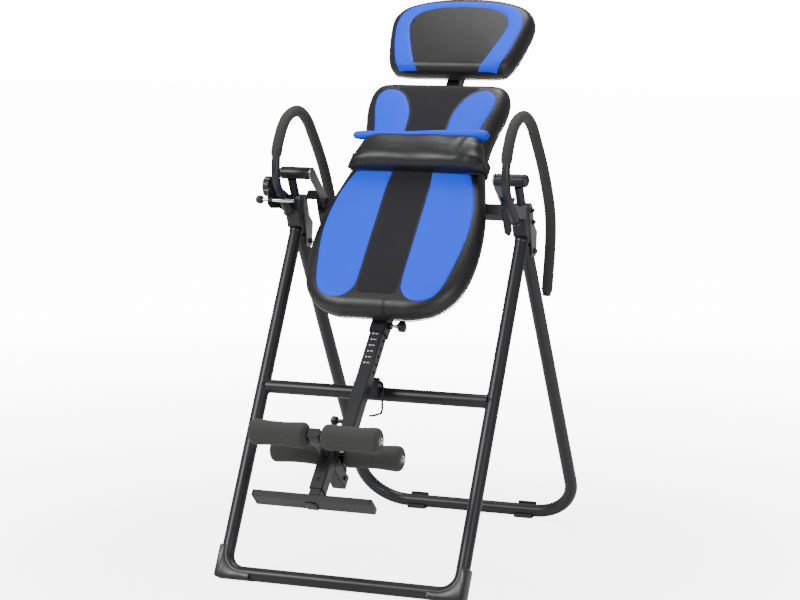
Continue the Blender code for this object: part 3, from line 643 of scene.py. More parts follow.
class Cushion:
    """A crowned cushion over an outline: a quarter-ellipse roll at the rim, then a slow rise to the middle.

    The rise is the crown times one less an exponential of the distance in from the rim.
    """

    def __init__(self, half, roll, crown):
        self.outline = spaced(whole(half), 480, closed=True)
        self.dense = spaced(self.outline, 1400, closed=True)
        self.roll = roll
        self.crown = crown

    def height(self, inset):
        """N of the face at a distance in from the outline."""
        t = np.clip(inset / self.roll, 0, 1)
        rim = CUSHION_MIDDLE + (CUSHION_FACE - CUSHION_MIDDLE) * np.sqrt(np.clip(1 - (1 - t) ** 2, 0, 1))
        return rim + self.crown * (1 - np.exp(-np.maximum(inset - self.roll * 0.6, 0) / 0.055))

    def face(self, points):
        """N of the face over points given as x and s."""
        return self.height(distance(points, self.dense))

    def inward(self):
        """Unit vectors into the outline."""
        along = unit(np.roll(self.outline, -1, axis=0) - np.roll(self.outline, 1, axis=0))
        return np.stack((-along[:, 1], along[:, 0]), -1)

    def spine(self):
        """The point on the middle line that each outline point is drawn towards."""
        s, margin = self.outline[:, 1], 0.13
        return np.stack((np.zeros(len(s)), np.clip(s, s.min() + margin, s.max() - margin)), -1)

    def rows(self, insets, fill):
        """Outline points moved in by each inset, then drawn to the spine by each share of fill."""
        normal = self.inward()
        rings = [self.outline + normal * d for d in insets]
        last = rings[-1]
        rings += [last + (self.spine() - last) * w for w in fill]
        return np.stack(rings)

    def cover(self):
        """The whole closed cover: face rings from the spine to the rim, under the rim and over the back."""
        insets = self.roll * (1 - np.cos(np.linspace(0, math.pi / 2, 14)))
        front = self.rows(insets, np.linspace(0, 1, 34)[1:])
        level = self.face(front)
        level[:len(insets)] = self.height(insets)[:, None]
        low = np.linspace(0, math.pi / 2, 9)[1:]
        under = self.rows(0.026 * (1 - np.cos(low)), np.linspace(0, 1, 12)[1:])
        back = np.full(under.shape[:2], CUSHION_BACK)
        back[:len(low)] = (CUSHION_MIDDLE + (CUSHION_BACK - CUSHION_MIDDLE) * np.sin(low))[:, None]
        grid = np.concatenate((front[::-1], under))
        level = np.concatenate((level[::-1], back))
        return surface(bed(grid[..., 0], grid[..., 1], level), around=True)

    def puffed(self, outline, spine, lift=0.0026):
        """A sewn-in panel: its rim tucks under the face, and its middle stands proud of it by lift."""
        outline = spaced(outline, 300, closed=True)
        share = np.concatenate(([0, 0.012, 0.03, 0.06, 0.10, 0.16], np.linspace(0.24, 1, 16)))[:, None, None]
        grid = outline[None] + (spine(outline)[None] - outline[None]) * share
        edge = distance(grid, spaced(outline, 900, closed=True))
        top = self.face(grid) - TUCK + (TUCK + lift) * (1 - np.exp(-edge / PUFF))
        low = self.face(grid) - PANEL_DEPTH
        level = np.concatenate((top[::-1], low))
        both = np.concatenate((grid[::-1], grid))
        return surface(bed(both[..., 0], both[..., 1], level), around=True)


def lobe_spine(margin):
    """A line up the middle of a lobe, as the mean x of the lobe and s kept off both ends."""
    def spine(outline):
        s = np.clip(outline[:, 1], outline[:, 1].min() + margin, outline[:, 1].max() - margin)
        return np.stack((np.full(len(s), outline[:, 0].mean()), s), -1)
    return spine


def piping(cushion):
    """A welt cord round a cushion's outline, near its back."""
    ring = cushion.outline + cushion.inward() * WELT_INSET
    path = bed(ring[:, 0], ring[:, 1], WELT_N)
    return tube(np.vstack((path, path[:1])), WELT_RADIUS, 10)


def rim_seam(cushion, x):
    """A seam across the bottom roll: a thin raised welt that follows the roll's section at one x."""
    angle = np.linspace(0.05, math.pi / 2, 24)
    inset = cushion.roll * (1 - np.cos(angle))
    s = cushion.outline[:, 1].min() + inset
    level = cushion.height(inset)
    return tube(bed(x, s, level + 0.0001), 0.0011, 8)


def make_backrest():
    """The contoured backrest: black cover, four blue lobes, the black centre cloth, welts and the lining."""
    cushion = Cushion(BACKREST_HALF, 0.034, sizes().crown)
    cover = piece("backrest_cover", cushion.cover(), "vinyl", "bed", ["backrest"], sharp=60,
                  weld=WELD)
    for side, sign in SIDES:
        for name, outline, margin in (("lower_lobe_", LOWER_LOBE, 0.090),
                                      ("upper_lobe_", UPPER_LOBE, 0.060)):
            run = through(np.array(outline) * (sign, 1), 8, closed=True)
            panel = piece(name + side, cushion.puffed(run, lobe_spine(margin)), "blue", "bed",
                          sharp=60, weld=WELD)
    centre = cushion.puffed(whole(CENTRE_HALF), lobe_spine(0.035), 0.0008)
    piece("centre_cloth", centre, "cloth", "bed", sharp=60, weld=WELD)
    welts = joined(piping(cushion), rim_seam(cushion, 0.026), rim_seam(cushion, 0.0305))
    piece("backrest_welts", welts, "vinyl", "bed", sharp=80)
    lining(cushion, "backrest_lining", "bed")


def lining(cushion, name, body):
    """The stapled lining on a cushion's back: a thin sheet inside the outline, just proud of the cover."""
    rows = cushion.rows([0.020, 0.0204], np.linspace(0, 1, 10)[1:])
    level = np.full(rows.shape[:2], CUSHION_BACK - 0.0008)
    level[0] = CUSHION_BACK + 0.0004
    under = np.full(rows.shape[:2], CUSHION_BACK + 0.0004)
    grid = np.concatenate((rows[::-1], rows))
    shape = surface(bed(grid[..., 0], grid[..., 1], np.concatenate((level[::-1], under))), around=True)
    piece(name, shape, "lining", body, sharp=60, weld=WELD)


def make_headrest():
    """The headrest: black cover, the blue band that arches round it, welt, lining and mounting plate."""
    cushion = Cushion(HEADREST_HALF, 0.026, sizes().crown * 0.8)
    cover = piece("headrest_cover", cushion.cover(), "vinyl", "headrest", ["headrest"], sharp=60,
                  weld=WELD)
    halves = [spaced(through(np.array(edge), 8), 120) for edge in (BAND_OUTER, BAND_INNER)]
    outer, inner = (np.vstack((h, (h * (-1, 1))[::-1][1:])) for h in halves)
    share = np.concatenate(([0, 0.02, 0.05, 0.1], np.linspace(0.18, 0.82, 12), [0.9, 0.95, 0.98, 1]))
    share = share[:, None, None]
    grid = outer[None] + (inner - outer)[None] * share
    width = np.linalg.norm(outer - inner, axis=1)
    edge = np.minimum(share[..., 0], 1 - share[..., 0]) * width[None]
    top = cushion.face(grid) - TUCK + 0.0034 * (1 - np.exp(-edge / PUFF))
    low = cushion.face(grid) - PANEL_DEPTH
    ring = np.concatenate((bed(grid[..., 0], grid[..., 1], top), bed(grid[..., 0], grid[..., 1], low)[::-1]))
    band = surface(ring.transpose(1, 0, 2), around=True, caps=True)
    piece("headrest_band", band, "blue", "headrest", sharp=60)
    piece("headrest_welt", piping(cushion), "vinyl", "headrest", sharp=80)
    lining(cushion, "headrest_lining", "headrest")
    plate = block((0.120, 0.110, 0.0050), bed(0, 0.545, -0.1278), BED_AXES)
    bolts = [cap_screw(bed(x, s, -0.1305), -OUTWARD, 0.0052) for x in (-0.045, 0.045)
             for s in (0.510, 0.580)]
    piece("headrest_plate", plate, "coat", "headrest")
    piece("headrest_screws", joined(*bolts), "oxide", "headrest")


PILLOW_X = 0.011             # the pillow lies a little to the right
PILLOW_S = 0.1165            # S of its middle
STRAP_WIDTH = 0.038


def make_pillow():
    """The lumbar pillow: a flattened bolster with gathered ends, its blue back roll and elastic strap.

    The bolster's section is a superellipse, wider at its lower edge; it closes towards both ends, where
    radial folds grow as an exponential of the distance to the end.
    """
    u = np.sin(np.linspace(-math.pi / 2, math.pi / 2, 170))[:, None]
    angle = turns(140)
    c, s = np.cos(angle), np.sin(angle)
    front = np.clip(s, 0, 1)
    taper = np.sqrt(np.clip(1 - np.abs(u) ** 9, 0.012, 1))
    lean = np.sign(c) * np.abs(c) ** 0.80
    rise = np.where(s > 0, 0.050 * np.abs(s) ** 0.74 * (1 - 0.12 * c), 0.003 * s)
    near_end = np.exp(-(1 - np.abs(u)) / 0.10)
    folds = 0.0036 * near_end * np.sin(11 * angle + 5 * u) * front ** 0.6
    creases = 0.0011 * np.exp(-((u - 0.72) / 0.16) ** 2) * np.sin(26 * u + 5 * angle) * front
    slack = 0.0013 * np.sin(7 * u + 1.3) * np.sin(2 * angle) * front
    level = CUSHION_FACE + 0.0065 + rise * taper + folds * taper + creases + slack
    along = PILLOW_S + 0.0600 * lean * (0.80 + 0.20 * taper) + 0.0016 * np.sin(9 * u) * front
    x = PILLOW_X + u * (0.188 - 0.020 * c)
    pillow = piece("lumbar_bolster", surface(bed(x, along, level), around=True, caps=True), "vinyl", "bed",
                   ["lumbar_pillow"], sharp=70)
    hem = np.linspace(-0.96, 0.96, 80)
    bead = bed(PILLOW_X + hem * 0.207, 0.0572, CUSHION_FACE + 0.0085)
    piece("bolster_welt", tube(bead, 0.0015, 8), "vinyl", "bed", sharp=80)
    t = np.linspace(-1, 1, 60)
    path = bed(-0.003 + t * 0.202, 0.1765 + 0.008 * t + 0.002 * np.sin(5 * t), CUSHION_FACE + 0.0200)
    swell = 0.0128 + 0.0040 * np.exp(-((t - 0.80) / 0.20) ** 2)
    radius = swell * np.clip((1 - np.abs(t) ** 26), 0.02, 1) ** 0.5
    roll = piece("pillow_back_roll", tube(path, radius, 24), "blue", "bed", sharp=70)
    section = np.array([(-1, -0.05), (1, -0.05), (1, 0.05), (-1, 0.05)]) * STRAP_WIDTH / 2
    loop = bent([(-0.196, -0.058), (-0.199, -0.112), (-0.176, -0.1252), (0.176, -0.1252), (0.199, -0.112),
                 (0.196, -0.058)], 0.010, 6)
    path = bed(loop[:, 0], 0.105, loop[:, 1])
    rows = path[:, None] + section[None, :, :1] * ALONG + section[None, :, 1:] * unit(
        np.cross(np.gradient(path, axis=0), ALONG))[:, None]
    strap = piece("pillow_strap", surface(rows, around=True, caps=True), "cloth", "bed", sharp=30)


# ---- rollers ----

ROLLER_HALF = 0.077          # half an ankle roller's length
ROLLER_LIP = 0.012           # radius of its rolled ends


def roller_profile():
    """Waisted foam roller: a sine of the squared distance from the middle widens it; its ends roll in."""
    waist, end, inner = sizes().roller_waist, sizes().roller_end, ROLLER_HALF - ROLLER_LIP
    t = np.linspace(-1, 1, 41)
    body = np.stack((waist + (end - waist) * np.sin(t * t * math.pi / 2), t * inner), -1)
    angle = np.linspace(0, math.pi / 2, 10)[1:]
    lip = np.stack((end - ROLLER_LIP + ROLLER_LIP * np.cos(angle), inner + ROLLER_LIP * np.sin(angle)), -1)
    hub = np.array([(0.0125, ROLLER_HALF), (0.0115, ROLLER_HALF - 0.0012), (0.0040, ROLLER_HALF - 0.0012)])
    right = np.vstack((lip, hub))
    return np.vstack((right[::-1] * (1, -1), body, right))


def make_rollers():
    """Four foam rollers, with zinc hub washers and the axles' end bolts."""
    profile = roller_profile()
    for row, body in (("front", "ankle_arm"), ("rear", "boom")):
        for side, sign in SIDES:
            name = f"{row}_roller_{side}"
            place = np.array(JOINTS[name + "_spin"]["pos_m"])
            foam = piece(f"{row}_foam_{side}", lathe(profile, place, SIDEWAYS, 64), "foam", name,
                         [name], sharp=50)
            out = sign * SIDEWAYS
            face = place + out * 0.0767
            washer = lathe([(0.0030, 0), (0.0115, 0), (0.0120, 0.0008), (0.0110, 0.0018), (0.0030, 0.0020)],
                           face, out)
            piece(f"{row}_washer_{side}", washer, "zinc", body)
            bolt = hex_bolt(face + out * 0.0018, out, 0.0070)
            piece(f"{row}_end_bolt_{side}", bolt, "chrome", body)


# ---- fasteners ----

def hex_bolt(place, axis, radius):
    """A hexagon head with a chamfered top.

    The skin's reach is that of a straight side, the cosine of 30 degrees over the cosine of the angle from
    the middle of the side, held a little short of the corner.
    """
    angle = turns(48)
    wedge = (angle + math.pi / 6) % (math.pi / 3) - math.pi / 6
    reach = radius * np.minimum(math.cos(math.pi / 6) / np.cos(wedge), 0.97)
    axis = unit(np.asarray(axis, float))
    a, b = square_to(axis)
    rows = []
    for height, limit in ((0.0, 1.0), (0.45, 1.0), (0.56, 0.93), (0.60, 0.80)):
        r = np.minimum(reach, radius * limit)
        rows.append(place + axis * radius * height * 1.1
                    + (r * np.cos(angle))[:, None] * a + (r * np.sin(angle))[:, None] * b)
    return surface(np.stack(rows), around=True, caps=True)


def cap_nut(place, axis, radius):
    """A domed cap nut on a washer."""
    axis = unit(np.asarray(axis, float))
    rim = radius * 1.35
    washer = lathe([(0.002, 0), (rim, 0), (rim, 0.0010), (0.002, 0.0012)], place, axis, 32)
    dome = [(radius * 0.86 * math.cos(a), radius * (0.62 + 0.75 * math.sin(a)))
            for a in np.linspace(0, math.pi / 2 - 0.05, 8)]
    return joined(washer, hex_bolt(place + axis * 0.001, axis, radius),
                  lathe([(0.002, radius * 0.4)] + dome, place + axis * 0.001, axis, 32))


def cap_screw(place, axis, radius):
    """A button-head screw with a hexagon socket."""
    dome = [(radius * math.cos(a), radius * 0.55 * math.sin(a)) for a in np.linspace(0, 1.1, 7)]
    socket = [(radius * 0.42, dome[-1][1]), (radius * 0.36, dome[-1][1] - radius * 0.3),
              (radius * 0.05, dome[-1][1] - radius * 0.32)]
    return lathe(dome + socket, place, axis, 30)


def make_fasteners():
    """Cap nuts on the hinge plates, pivot arm screws, lock hook rivets, cross tube bolts and stem screws."""
    for side, sign in SIDES:
        out = sign * SIDEWAYS
        face = HALF + 0.0208 + 0.0015
        nuts = [cap_nut(plan(sign * face, y, z), out, 0.0062)
                for y, z in ((0.003, 0.9705), (0.0145, 0.9380))]
        piece("hinge_nuts_" + side, joined(*nuts), "oxide", "frame")
        arm = cap_screw(bed(sign * 0.2705, 0.0, -0.1585), out, 0.0050)
        piece("arm_screw_" + side, arm, "oxide", "bed")
        hook = JOINTS[f"lock_hook_{side}_turn"]["pos_m"]
        pin = lathe([(0.001, 0), (0.0046, 0), (0.0046, 0.0014), (0.0030, 0.0022), (0.001, 0.0023)],
                    np.array(hook) + out * 0.0020, out, 28)
        piece("hook_rivet_" + side, pin, "oxide", "bed")
    boom_bolts = [hex_bolt(bed(sign * TUBE_HALF, CROSS_S, -0.172), sign * SIDEWAYS, 0.0060)
                  for sign in (1, -1)]
    piece("cross_tube_bolt", joined(*boom_bolts), "oxide", "boom")
    stem_bolts = [cap_screw(bed(0, s, STEM_FACE), OUTWARD, 0.0048) for s in (-0.926, -0.878)]
    piece("stem_screws", joined(*stem_bolts), "oxide", "ankle_arm")


# ---- knobs and pins ----

def make_knobs():
    """The ribbed height knob, the round release knob, and the limiter's rod, ball knob and rubber cone."""
    root = bed(0.0225, PIN_S, TUBE_N)
    shank = lathe([(0.0020, -0.0016), (0.0043, -0.0014), (0.0043, 0.0200), (0.0058, 0.0202),
                   (0.0058, 0.0275), (0.0020, 0.0277)], root, SIDEWAYS, 36)
    grip = lathe([(0.0020, 0.0276), (0.0095, 0.0277), (0.0135, 0.0300), (0.0145, 0.0330), (0.0145, 0.0435),
                  (0.0132, 0.0465), (0.0100, 0.0478), (0.0020, 0.0480)], root, SIDEWAYS, 144, 16, 0.035)
    boss = lathe([(0.0046, 0.0003), (0.0092, 0.0003), (0.0096, 0.0012), (0.0096, 0.0085), (0.0088, 0.0095),
                  (0.0046, 0.0097)], root, SIDEWAYS, 40)
    piece("height_knob_shank", shank, "chrome", "height_pin", ["height_pin"])
    piece("height_knob_grip", grip, "plastic", "height_pin")
    piece("height_pin_boss", boss, "coat", "bed")
    root = bed(-0.0190, -0.697, TUBE_N)
    knob = lathe([(0.0020, -0.0040), (0.0041, -0.0038), (0.0041, 0.0024), (0.0060, 0.0026), (0.0060, 0.0190),
                  (0.0080, 0.0196), (0.0120, 0.0230), (0.0134, 0.0290), (0.0120, 0.0350), (0.0070, 0.0388),
                  (0.0020, 0.0398)], root, -SIDEWAYS, 48)
    piece("release_knob", knob, "plastic", "ankle_pin", ["ankle_pin"])
    piece("release_knob_bolt", cap_screw(root - SIDEWAYS * 0.0375, -SIDEWAYS, 0.0046), "chrome", "ankle_pin")
    low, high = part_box("limiter_pin")
    centre = (np.array(low) + np.array(high)) / 2
    ball_r = (high.z - low.z) / 2
    ball_x = low.x + ball_r
    root = (0, centre[1], centre[2])
    rod = lathe([(0.0020, ball_x + 0.011), (0.0050, ball_x + 0.0112), (0.0050, high.x - 0.004),
                 (0.0042, high.x - 0.001), (0.0020, high.x)], root, SIDEWAYS, 36)
    ball = [(ball_r * math.sin(a), ball_x - ball_r * math.cos(a)) for a in np.linspace(0.12, 2.55, 18)]
    piece("limiter_rod", rod, "chrome", "limiter_pin", ["limiter_pin"])
    piece("limiter_ball", lathe(ball, root, SIDEWAYS, 44), "plastic", "limiter_pin")
    plate_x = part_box("limiter_plate")[0].x
    cone = lathe([(0.0010, 0), (0.0062, 0.0002), (0.0058, 0.0050), (0.0030, 0.0140), (0.0010, 0.0150)],
                 np.array((plate_x, centre[1] + 0.020, centre[2] - 0.006)), -SIDEWAYS, 32)
    piece("limiter_stop_cone", cone, "rubber", "frame")


# ---- boom, latch and bed details ----

def make_boom_details():
    """Printed height marks, end plugs, welds between square tubes, and the straps under the cushion.

    The ankle upright is a soft square that narrows as it is carried from the axle down to the stem.
    """
    front = TUBE_N + TUBE_HALF + 0.0001
    marks = []
    for i in range(6):
        s = -0.429 - 0.0186 * i
        marks.append(block((0.0085, 0.0018, 0.0003), bed(0.0030, s, front), BED_AXES, 0.00005))
        marks.append(block((0.0036, 0.0042, 0.0003), bed(-0.0066, s, front), BED_AXES, 0.00005))
    piece("height_marks", joined(*marks), "ink", "boom")
    plug = block((0.0375, 0.0375, 0.0040), bed(0, CROSS_S, -0.1946), BED_AXES)
    piece("cross_tube_plug", plug, "plastic", "boom")
    low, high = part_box("footrest_bar")
    bar_s, bar_n, bar_end = -0.9845, STEM_N + 0.004, (high.x - low.x) / 2 + 0.001
    plugs = [block((0.004, 0.0186, 0.0506), bed(sign * bar_end, bar_s, bar_n), BED_AXES)
             for _, sign in SIDES]
    piece("footrest_plugs", joined(*plugs), "plastic", "footrest")
    pad = block((0.030, 0.0050, 0.030), bed(-0.004, bar_s - 0.0105, bar_n - 0.0060), BED_AXES)
    piece("footrest_clip", pad, "plastic", "footrest")
    seam = [bed(TUBE_HALF * a, CROSS_S + 0.0198, TUBE_N + TUBE_HALF * b)
            for a, b in ((-1, -1), (1, -1), (1, 1), (-1, 1))]
    piece("boom_weld", weld_bead(np.array(seam), 0.0020), "coat", "boom", sharp=80)
    u, v = soft_square()
    rows = [bed(wide * u, FRONT_AXLE[0] + deep * v, n) for n, wide, deep in
            ((0.0450, 0.0155, 0.0120), (0.0460, 0.0165, 0.0130), (0.0140, 0.0165, 0.0130),
             (0.0060, 0.0150, 0.0110), (-0.0150, 0.0115, 0.0080), (-0.0590, 0.0110, 0.0075))]
    foot = block((0.026, 0.040, 0.0035), bed(0, FRONT_AXLE[0] - 0.012, STEM_FACE + 0.0018), BED_AXES)
    upright = joined(surface(np.stack(rows), around=True, caps=True), foot)
    piece("ankle_upright", upright, "coat", "ankle_arm", ["ankle_bracket"])
    straps, screws = [], []
    for s in (-0.300, 0.235):
        straps.append(block((0.270, 0.034, 0.0040), bed(0, s, -0.1262), BED_AXES))
        screws += [cap_screw(bed(x, s, -0.1282), -OUTWARD, 0.0055) for x in (-0.115, -0.070, 0.070, 0.115)]
    piece("cushion_straps", joined(*straps), "coat", "bed")
    piece("cushion_screws", joined(*screws), "oxide", "bed")
    ring = ((-0.018, -0.162), (0.018, -0.162), (0.018, -0.1325), (-0.018, -0.1325))
    beam_welds = [weld_bead(np.array([bed(sign * 0.0232, s, n) for s, n in ring]), 0.0020)
                  for _, sign in SIDES]
    piece("beam_welds", joined(*beam_welds), "coat", "bed", sharp=80)


def make_latch():
    """The crossbar latch's wire hook, and its return spring: a helix that ends in a ring."""
    axis = np.array(JOINTS["latch_hook_turn"]["pos_m"])
    run = [(-0.022, 0.0, 0.0), (0.022, 0.0, 0.0), (0.030, -0.012, -0.016), (0.030, -0.020, -0.036),
           (0.030, -0.019, -0.068), (0.026, -0.018, -0.080), (0.006, -0.018, -0.087),
           (-0.008, -0.018, -0.089)]
    hook = bent(axis + np.array(run), 0.0045, 6)
    piece("latch_wire", tube(hook, 0.0031, 16), "oxide", "latch_hook", ["latch_hook"])
    end_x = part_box("latch_spring")[1].x
    y, z, radius = CROSSBAR.y, CROSSBAR.z + CROSSBAR_RADIUS + 0.0075, 0.0045
    t = np.linspace(0, 1, 520)
    coil = np.stack((end_x - 0.016 - 0.034 * t, y + radius * np.cos(t * 22 * math.pi),
                     z + radius * np.sin(t * 22 * math.pi)), -1)
    turn = np.linspace(0.1, 1.85 * math.pi, 30)
    ring = np.stack((coil[-1, 0] - 0.0065 + 0.0050 * np.cos(turn), np.full(30, y),
                     z + 0.0050 * np.sin(turn)), -1)
    path = np.vstack(([(end_x, y + radius, z)], coil, ring))
    piece("latch_coil", tube(path, 0.0009, 8), "chrome", "frame", ["latch_spring"], sharp=80)


def finish_carried_nodes():
    """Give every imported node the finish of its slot; bolts and lock hooks are black oxide."""
    for name, node in frame["nodes"].items():
        finish = "oxide" if name.startswith(("fold_bolt_", "lock_hook_")) else SLOTS[name]
        node.data.materials.clear()
        node.data.materials.append(MATERIALS[finish]())


# ---- stage ----

LOOK_AT = (0.2445, -0.6855, 0.8042)
LENS_MM, SENSOR_MM, ROLL_DEGREES = 105.5, 36.0, 0.25


def area_light(name, place, target, size, power):
    """A soft square light aimed at a point."""
    data = bpy.data.lights.new(name, "AREA")
    data.size = size
    data.energy = power
    lamp = bpy.data.objects.new(name, data)
    lamp.location = place
    lamp.rotation_mode = "QUATERNION"
    lamp.rotation_quaternion = (Vector(target) - Vector(place)).to_track_quat("-Z", "Y")
    bpy.context.scene.collection.objects.link(lamp)


def make_stage():
    """A pale floor that brightens with distance, a white surround, three soft lights and the camera."""
    mesh = bpy.data.meshes.new("floor")
    reach = 30
    mesh.from_pydata([(-reach, -reach, 0), (reach, -reach, 0), (reach, reach, 0), (-reach, reach, 0)], [],
                     [(0, 1, 2, 3)])
    floor = bpy.data.objects.new("floor", mesh)
    bpy.context.scene.collection.objects.link(floor)
    paper = surface_material("pale_paper_floor", (0.90, 0.90, 0.90), 0.9, grain=0.01, bump=0.0, tint=0.0)
    mesh.materials.append(paper)
    tree = paper.node_tree
    sight = put(tree, "ShaderNodeLightPath")
    place = put(tree, "ShaderNodeTexCoord")
    out = put(tree, "ShaderNodeVectorMath", {"operation": "LENGTH"}, {0: (place, "Object")})
    glow = put(tree, "ShaderNodeMapRange", {"From Min": 0.8, "From Max": 5.0, "To Min": 4.5, "To Max": 14.0},
               {"Value": (out, "Value")})
    seen = put(tree, "ShaderNodeMath", {"operation": "MULTIPLY"},
               {0: (glow, "Result"), 1: (sight, "Is Camera Ray")})
    shader = tree.nodes["Principled BSDF"]
    shader.inputs["Emission Color"].default_value = (1.0, 1.0, 1.0, 1.0)
    tree.links.new(seen.outputs["Value"], shader.inputs["Emission Strength"])
    world = bpy.data.worlds.new("studio")
    bpy.context.scene.world = world
    world.use_nodes = True
    tree = world.node_tree
    sky = tree.nodes["Background"]
    sky.inputs["Color"].default_value = (1.0, 1.0, 1.0, 1.0)
    sight = put(tree, "ShaderNodeLightPath")
    level = put(tree, "ShaderNodeMapRange", {"To Min": 0.45, "To Max": 15.0},
                {"Value": (sight, "Is Camera Ray")})
    tree.links.new(level.outputs["Result"], sky.inputs["Strength"])
    area_light("key", (-2.4, -3.4, 3.4), (0, -0.1, 0.9), 1.6, 190)
    area_light("fill", (3.2, -3.0, 1.6), (0, -0.1, 0.8), 1.6, 70)
    area_light("top", (0.2, 0.8, 4.2), (0, 0, 0.9), 2.0, 110)
    azimuth, elevation = sizes().view_azimuth, sizes().view_elevation
    back = Vector((math.sin(azimuth) * math.cos(elevation), -math.cos(azimuth) * math.cos(elevation),
                   math.sin(elevation)))
    target = Vector(plan(*LOOK_AT))
    data = bpy.data.cameras.new("camera")
    data.lens = LENS_MM
    data.sensor_width = SENSOR_MM
    camera = bpy.data.objects.new("camera", data)
    camera.location = target + back * sizes().view_distance
    camera.rotation_mode = "QUATERNION"
    roll = Quaternion((0, 0, 1), math.radians(ROLL_DEGREES))
    camera.rotation_quaternion = (-back).to_track_quat("-Z", "Y") @ roll
    bpy.context.scene.collection.objects.link(camera)
    bpy.context.scene.camera = camera


# ---- add-on ----

class InversionSizes(bpy.types.PropertyGroup):
    """Sizes and the view that a user would change."""

    handle_radius: FloatProperty(name="Handle radius", description="Outer radius of the bare handle tube",
                                 default=0.0118, unit="LENGTH")
    grip_radius: FloatProperty(name="Grip radius", description="Outer radius of the foam on the handles",
                               default=0.0155, unit="LENGTH")
    crown: FloatProperty(name="Crown", description="How far the cushions rise in the middle",
                         default=0.006, unit="LENGTH")
    roller_waist: FloatProperty(name="Roller waist", description="Radius of an ankle roller at its middle",
                                default=0.0305, unit="LENGTH")
    roller_end: FloatProperty(name="Roller end", description="Radius of an ankle roller at its ends",
                              default=0.0335, unit="LENGTH")
    view_azimuth: FloatProperty(name="Azimuth", description="Camera angle round the table",
                                default=math.radians(21.4), subtype="ANGLE")
    view_elevation: FloatProperty(name="Elevation", description="Camera angle above the horizon",
                                  default=math.radians(7.5), subtype="ANGLE")
    view_distance: FloatProperty(name="Distance", description="Camera distance from its target",
                                 default=5.75, unit="LENGTH")


class InversionColours(bpy.types.PropertyGroup):
    """Colours that a user would change."""

    coat: FloatVectorProperty(name="Powder coat", description="Colour of the painted steel", subtype="COLOR",
                              size=3, min=0, max=1, default=linear("1C1C1F"))
    blue: FloatVectorProperty(name="Blue panels", description="Colour of the coloured upholstery",
                              subtype="COLOR", size=3, min=0, max=1, default=linear("0042F0"))
    vinyl: FloatVectorProperty(name="Black cover", description="Colour of the black upholstery",
                               subtype="COLOR", size=3, min=0, max=1, default=linear("121214"))
    cloth: FloatVectorProperty(name="Centre cloth", description="Colour of the woven centre strip",
                               subtype="COLOR", size=3, min=0, max=1, default=linear("1B1A1E"))
    foam: FloatVectorProperty(name="Foam", description="Colour of grips and rollers",
                              subtype="COLOR", size=3, min=0, max=1, default=linear("31312F"))


class INVERSION_OT_frame_tubes(bpy.types.Operator):
    """Make the front and rear frames, the crossbar and its welds"""

    bl_idname = "inversion.frame_tubes"
    bl_label = "Frame tubes"

    def execute(self, context):
        make_frame_tubes()
        return {"FINISHED"}


class INVERSION_OT_feet(bpy.types.Operator):
    """Make the corner covers and the rear clips"""

    bl_idname = "inversion.feet"
    bl_label = "Feet"

    def execute(self, context):
        make_feet()
        return {"FINISHED"}


class INVERSION_OT_handles(bpy.types.Operator):
    """Make the handles and their foam grips"""

    bl_idname = "inversion.handles"
    bl_label = "Handles"

    def execute(self, context):
        make_handles()
        return {"FINISHED"}


class INVERSION_OT_backrest(bpy.types.Operator):
    """Make the backrest and its sewn panels"""

    bl_idname = "inversion.backrest"
    bl_label = "Backrest"

    def execute(self, context):
        make_backrest()
        return {"FINISHED"}


class INVERSION_OT_headrest(bpy.types.Operator):
    """Make the headrest and its blue band"""

    bl_idname = "inversion.headrest"
    bl_label = "Headrest"

    def execute(self, context):
        make_headrest()
        return {"FINISHED"}


class INVERSION_OT_pillow(bpy.types.Operator):
    """Make the lumbar pillow and its strap"""

    bl_idname = "inversion.pillow"
    bl_label = "Lumbar pillow"

    def execute(self, context):
        make_pillow()
        return {"FINISHED"}


class INVERSION_OT_rollers(bpy.types.Operator):
    """Make the four ankle rollers and their end bolts"""

    bl_idname = "inversion.rollers"
    bl_label = "Ankle rollers"

    def execute(self, context):
        make_rollers()
        return {"FINISHED"}


class INVERSION_OT_fasteners(bpy.types.Operator):
    """Make the nuts, screws and rivets"""

    bl_idname = "inversion.fasteners"
    bl_label = "Fasteners"

    def execute(self, context):
        make_fasteners()
        return {"FINISHED"}


class INVERSION_OT_knobs(bpy.types.Operator):
    """Make the knobs and their pins"""

    bl_idname = "inversion.knobs"
    bl_label = "Knobs and pins"

    def execute(self, context):
        make_knobs()
        return {"FINISHED"}


class INVERSION_OT_boom_details(bpy.types.Operator):
    """Make the height marks, plugs, straps and welds"""

    bl_idname = "inversion.boom_details"
    bl_label = "Boom and bed details"

    def execute(self, context):
        make_boom_details()
        return {"FINISHED"}


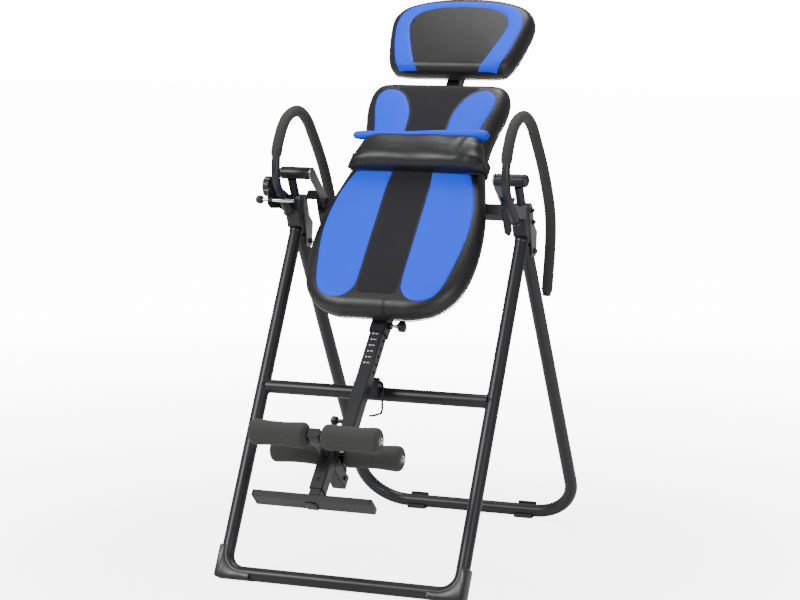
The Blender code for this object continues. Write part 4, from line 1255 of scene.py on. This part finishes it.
class INVERSION_OT_latch(bpy.types.Operator):
    """Make the latch hook and spring"""

    bl_idname = "inversion.latch"
    bl_label = "Storage latch"

    def execute(self, context):
        make_latch()
        return {"FINISHED"}


class INVERSION_OT_finishes(bpy.types.Operator):
    """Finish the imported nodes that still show"""

    bl_idname = "inversion.finishes"
    bl_label = "Packed node finishes"

    def execute(self, context):
        finish_carried_nodes()
        return {"FINISHED"}


class INVERSION_OT_stage(bpy.types.Operator):
    """Make the floor, the lights and the camera"""

    bl_idname = "inversion.stage"
    bl_label = "Stage"

    def execute(self, context):
        make_stage()
        return {"FINISHED"}


OPERATORS = (INVERSION_OT_frame_tubes, INVERSION_OT_feet, INVERSION_OT_handles, INVERSION_OT_backrest,
             INVERSION_OT_headrest, INVERSION_OT_pillow, INVERSION_OT_rollers, INVERSION_OT_fasteners,
             INVERSION_OT_knobs, INVERSION_OT_boom_details, INVERSION_OT_latch, INVERSION_OT_finishes,
             INVERSION_OT_stage)


class INVERSION_PT_panel(bpy.types.Panel):
    """The maker's buttons, sizes and colours"""

    bl_idname = "INVERSION_PT_panel"
    bl_label = "Inversion table"
    bl_space_type = "VIEW_3D"
    bl_region_type = "UI"
    bl_category = "Inversion table"

    def draw(self, context):
        for operator in OPERATORS:
            self.layout.operator(operator.bl_idname)
        for group in (context.scene.inversion_sizes, context.scene.inversion_colours):
            for name in group.__annotations__:
                self.layout.prop(group, name)


CLASSES = (InversionSizes, InversionColours, *OPERATORS, INVERSION_PT_panel)


def register():
    """Register the classes and the two groups of settings."""
    for item in CLASSES:
        bpy.utils.register_class(item)
    bpy.types.Scene.inversion_sizes = PointerProperty(type=InversionSizes)
    bpy.types.Scene.inversion_colours = PointerProperty(type=InversionColours)


def unregister():
    """Remove the settings and the classes."""
    del bpy.types.Scene.inversion_sizes
    del bpy.types.Scene.inversion_colours
    for item in reversed(CLASSES):
        bpy.utils.unregister_class(item)


def main():
    """Make every piece and the stage."""
    register()
    for operator in OPERATORS:
        group, name = operator.bl_idname.split(".")
        getattr(getattr(bpy.ops, group), name)()


if __name__ == "__main__":
    main()
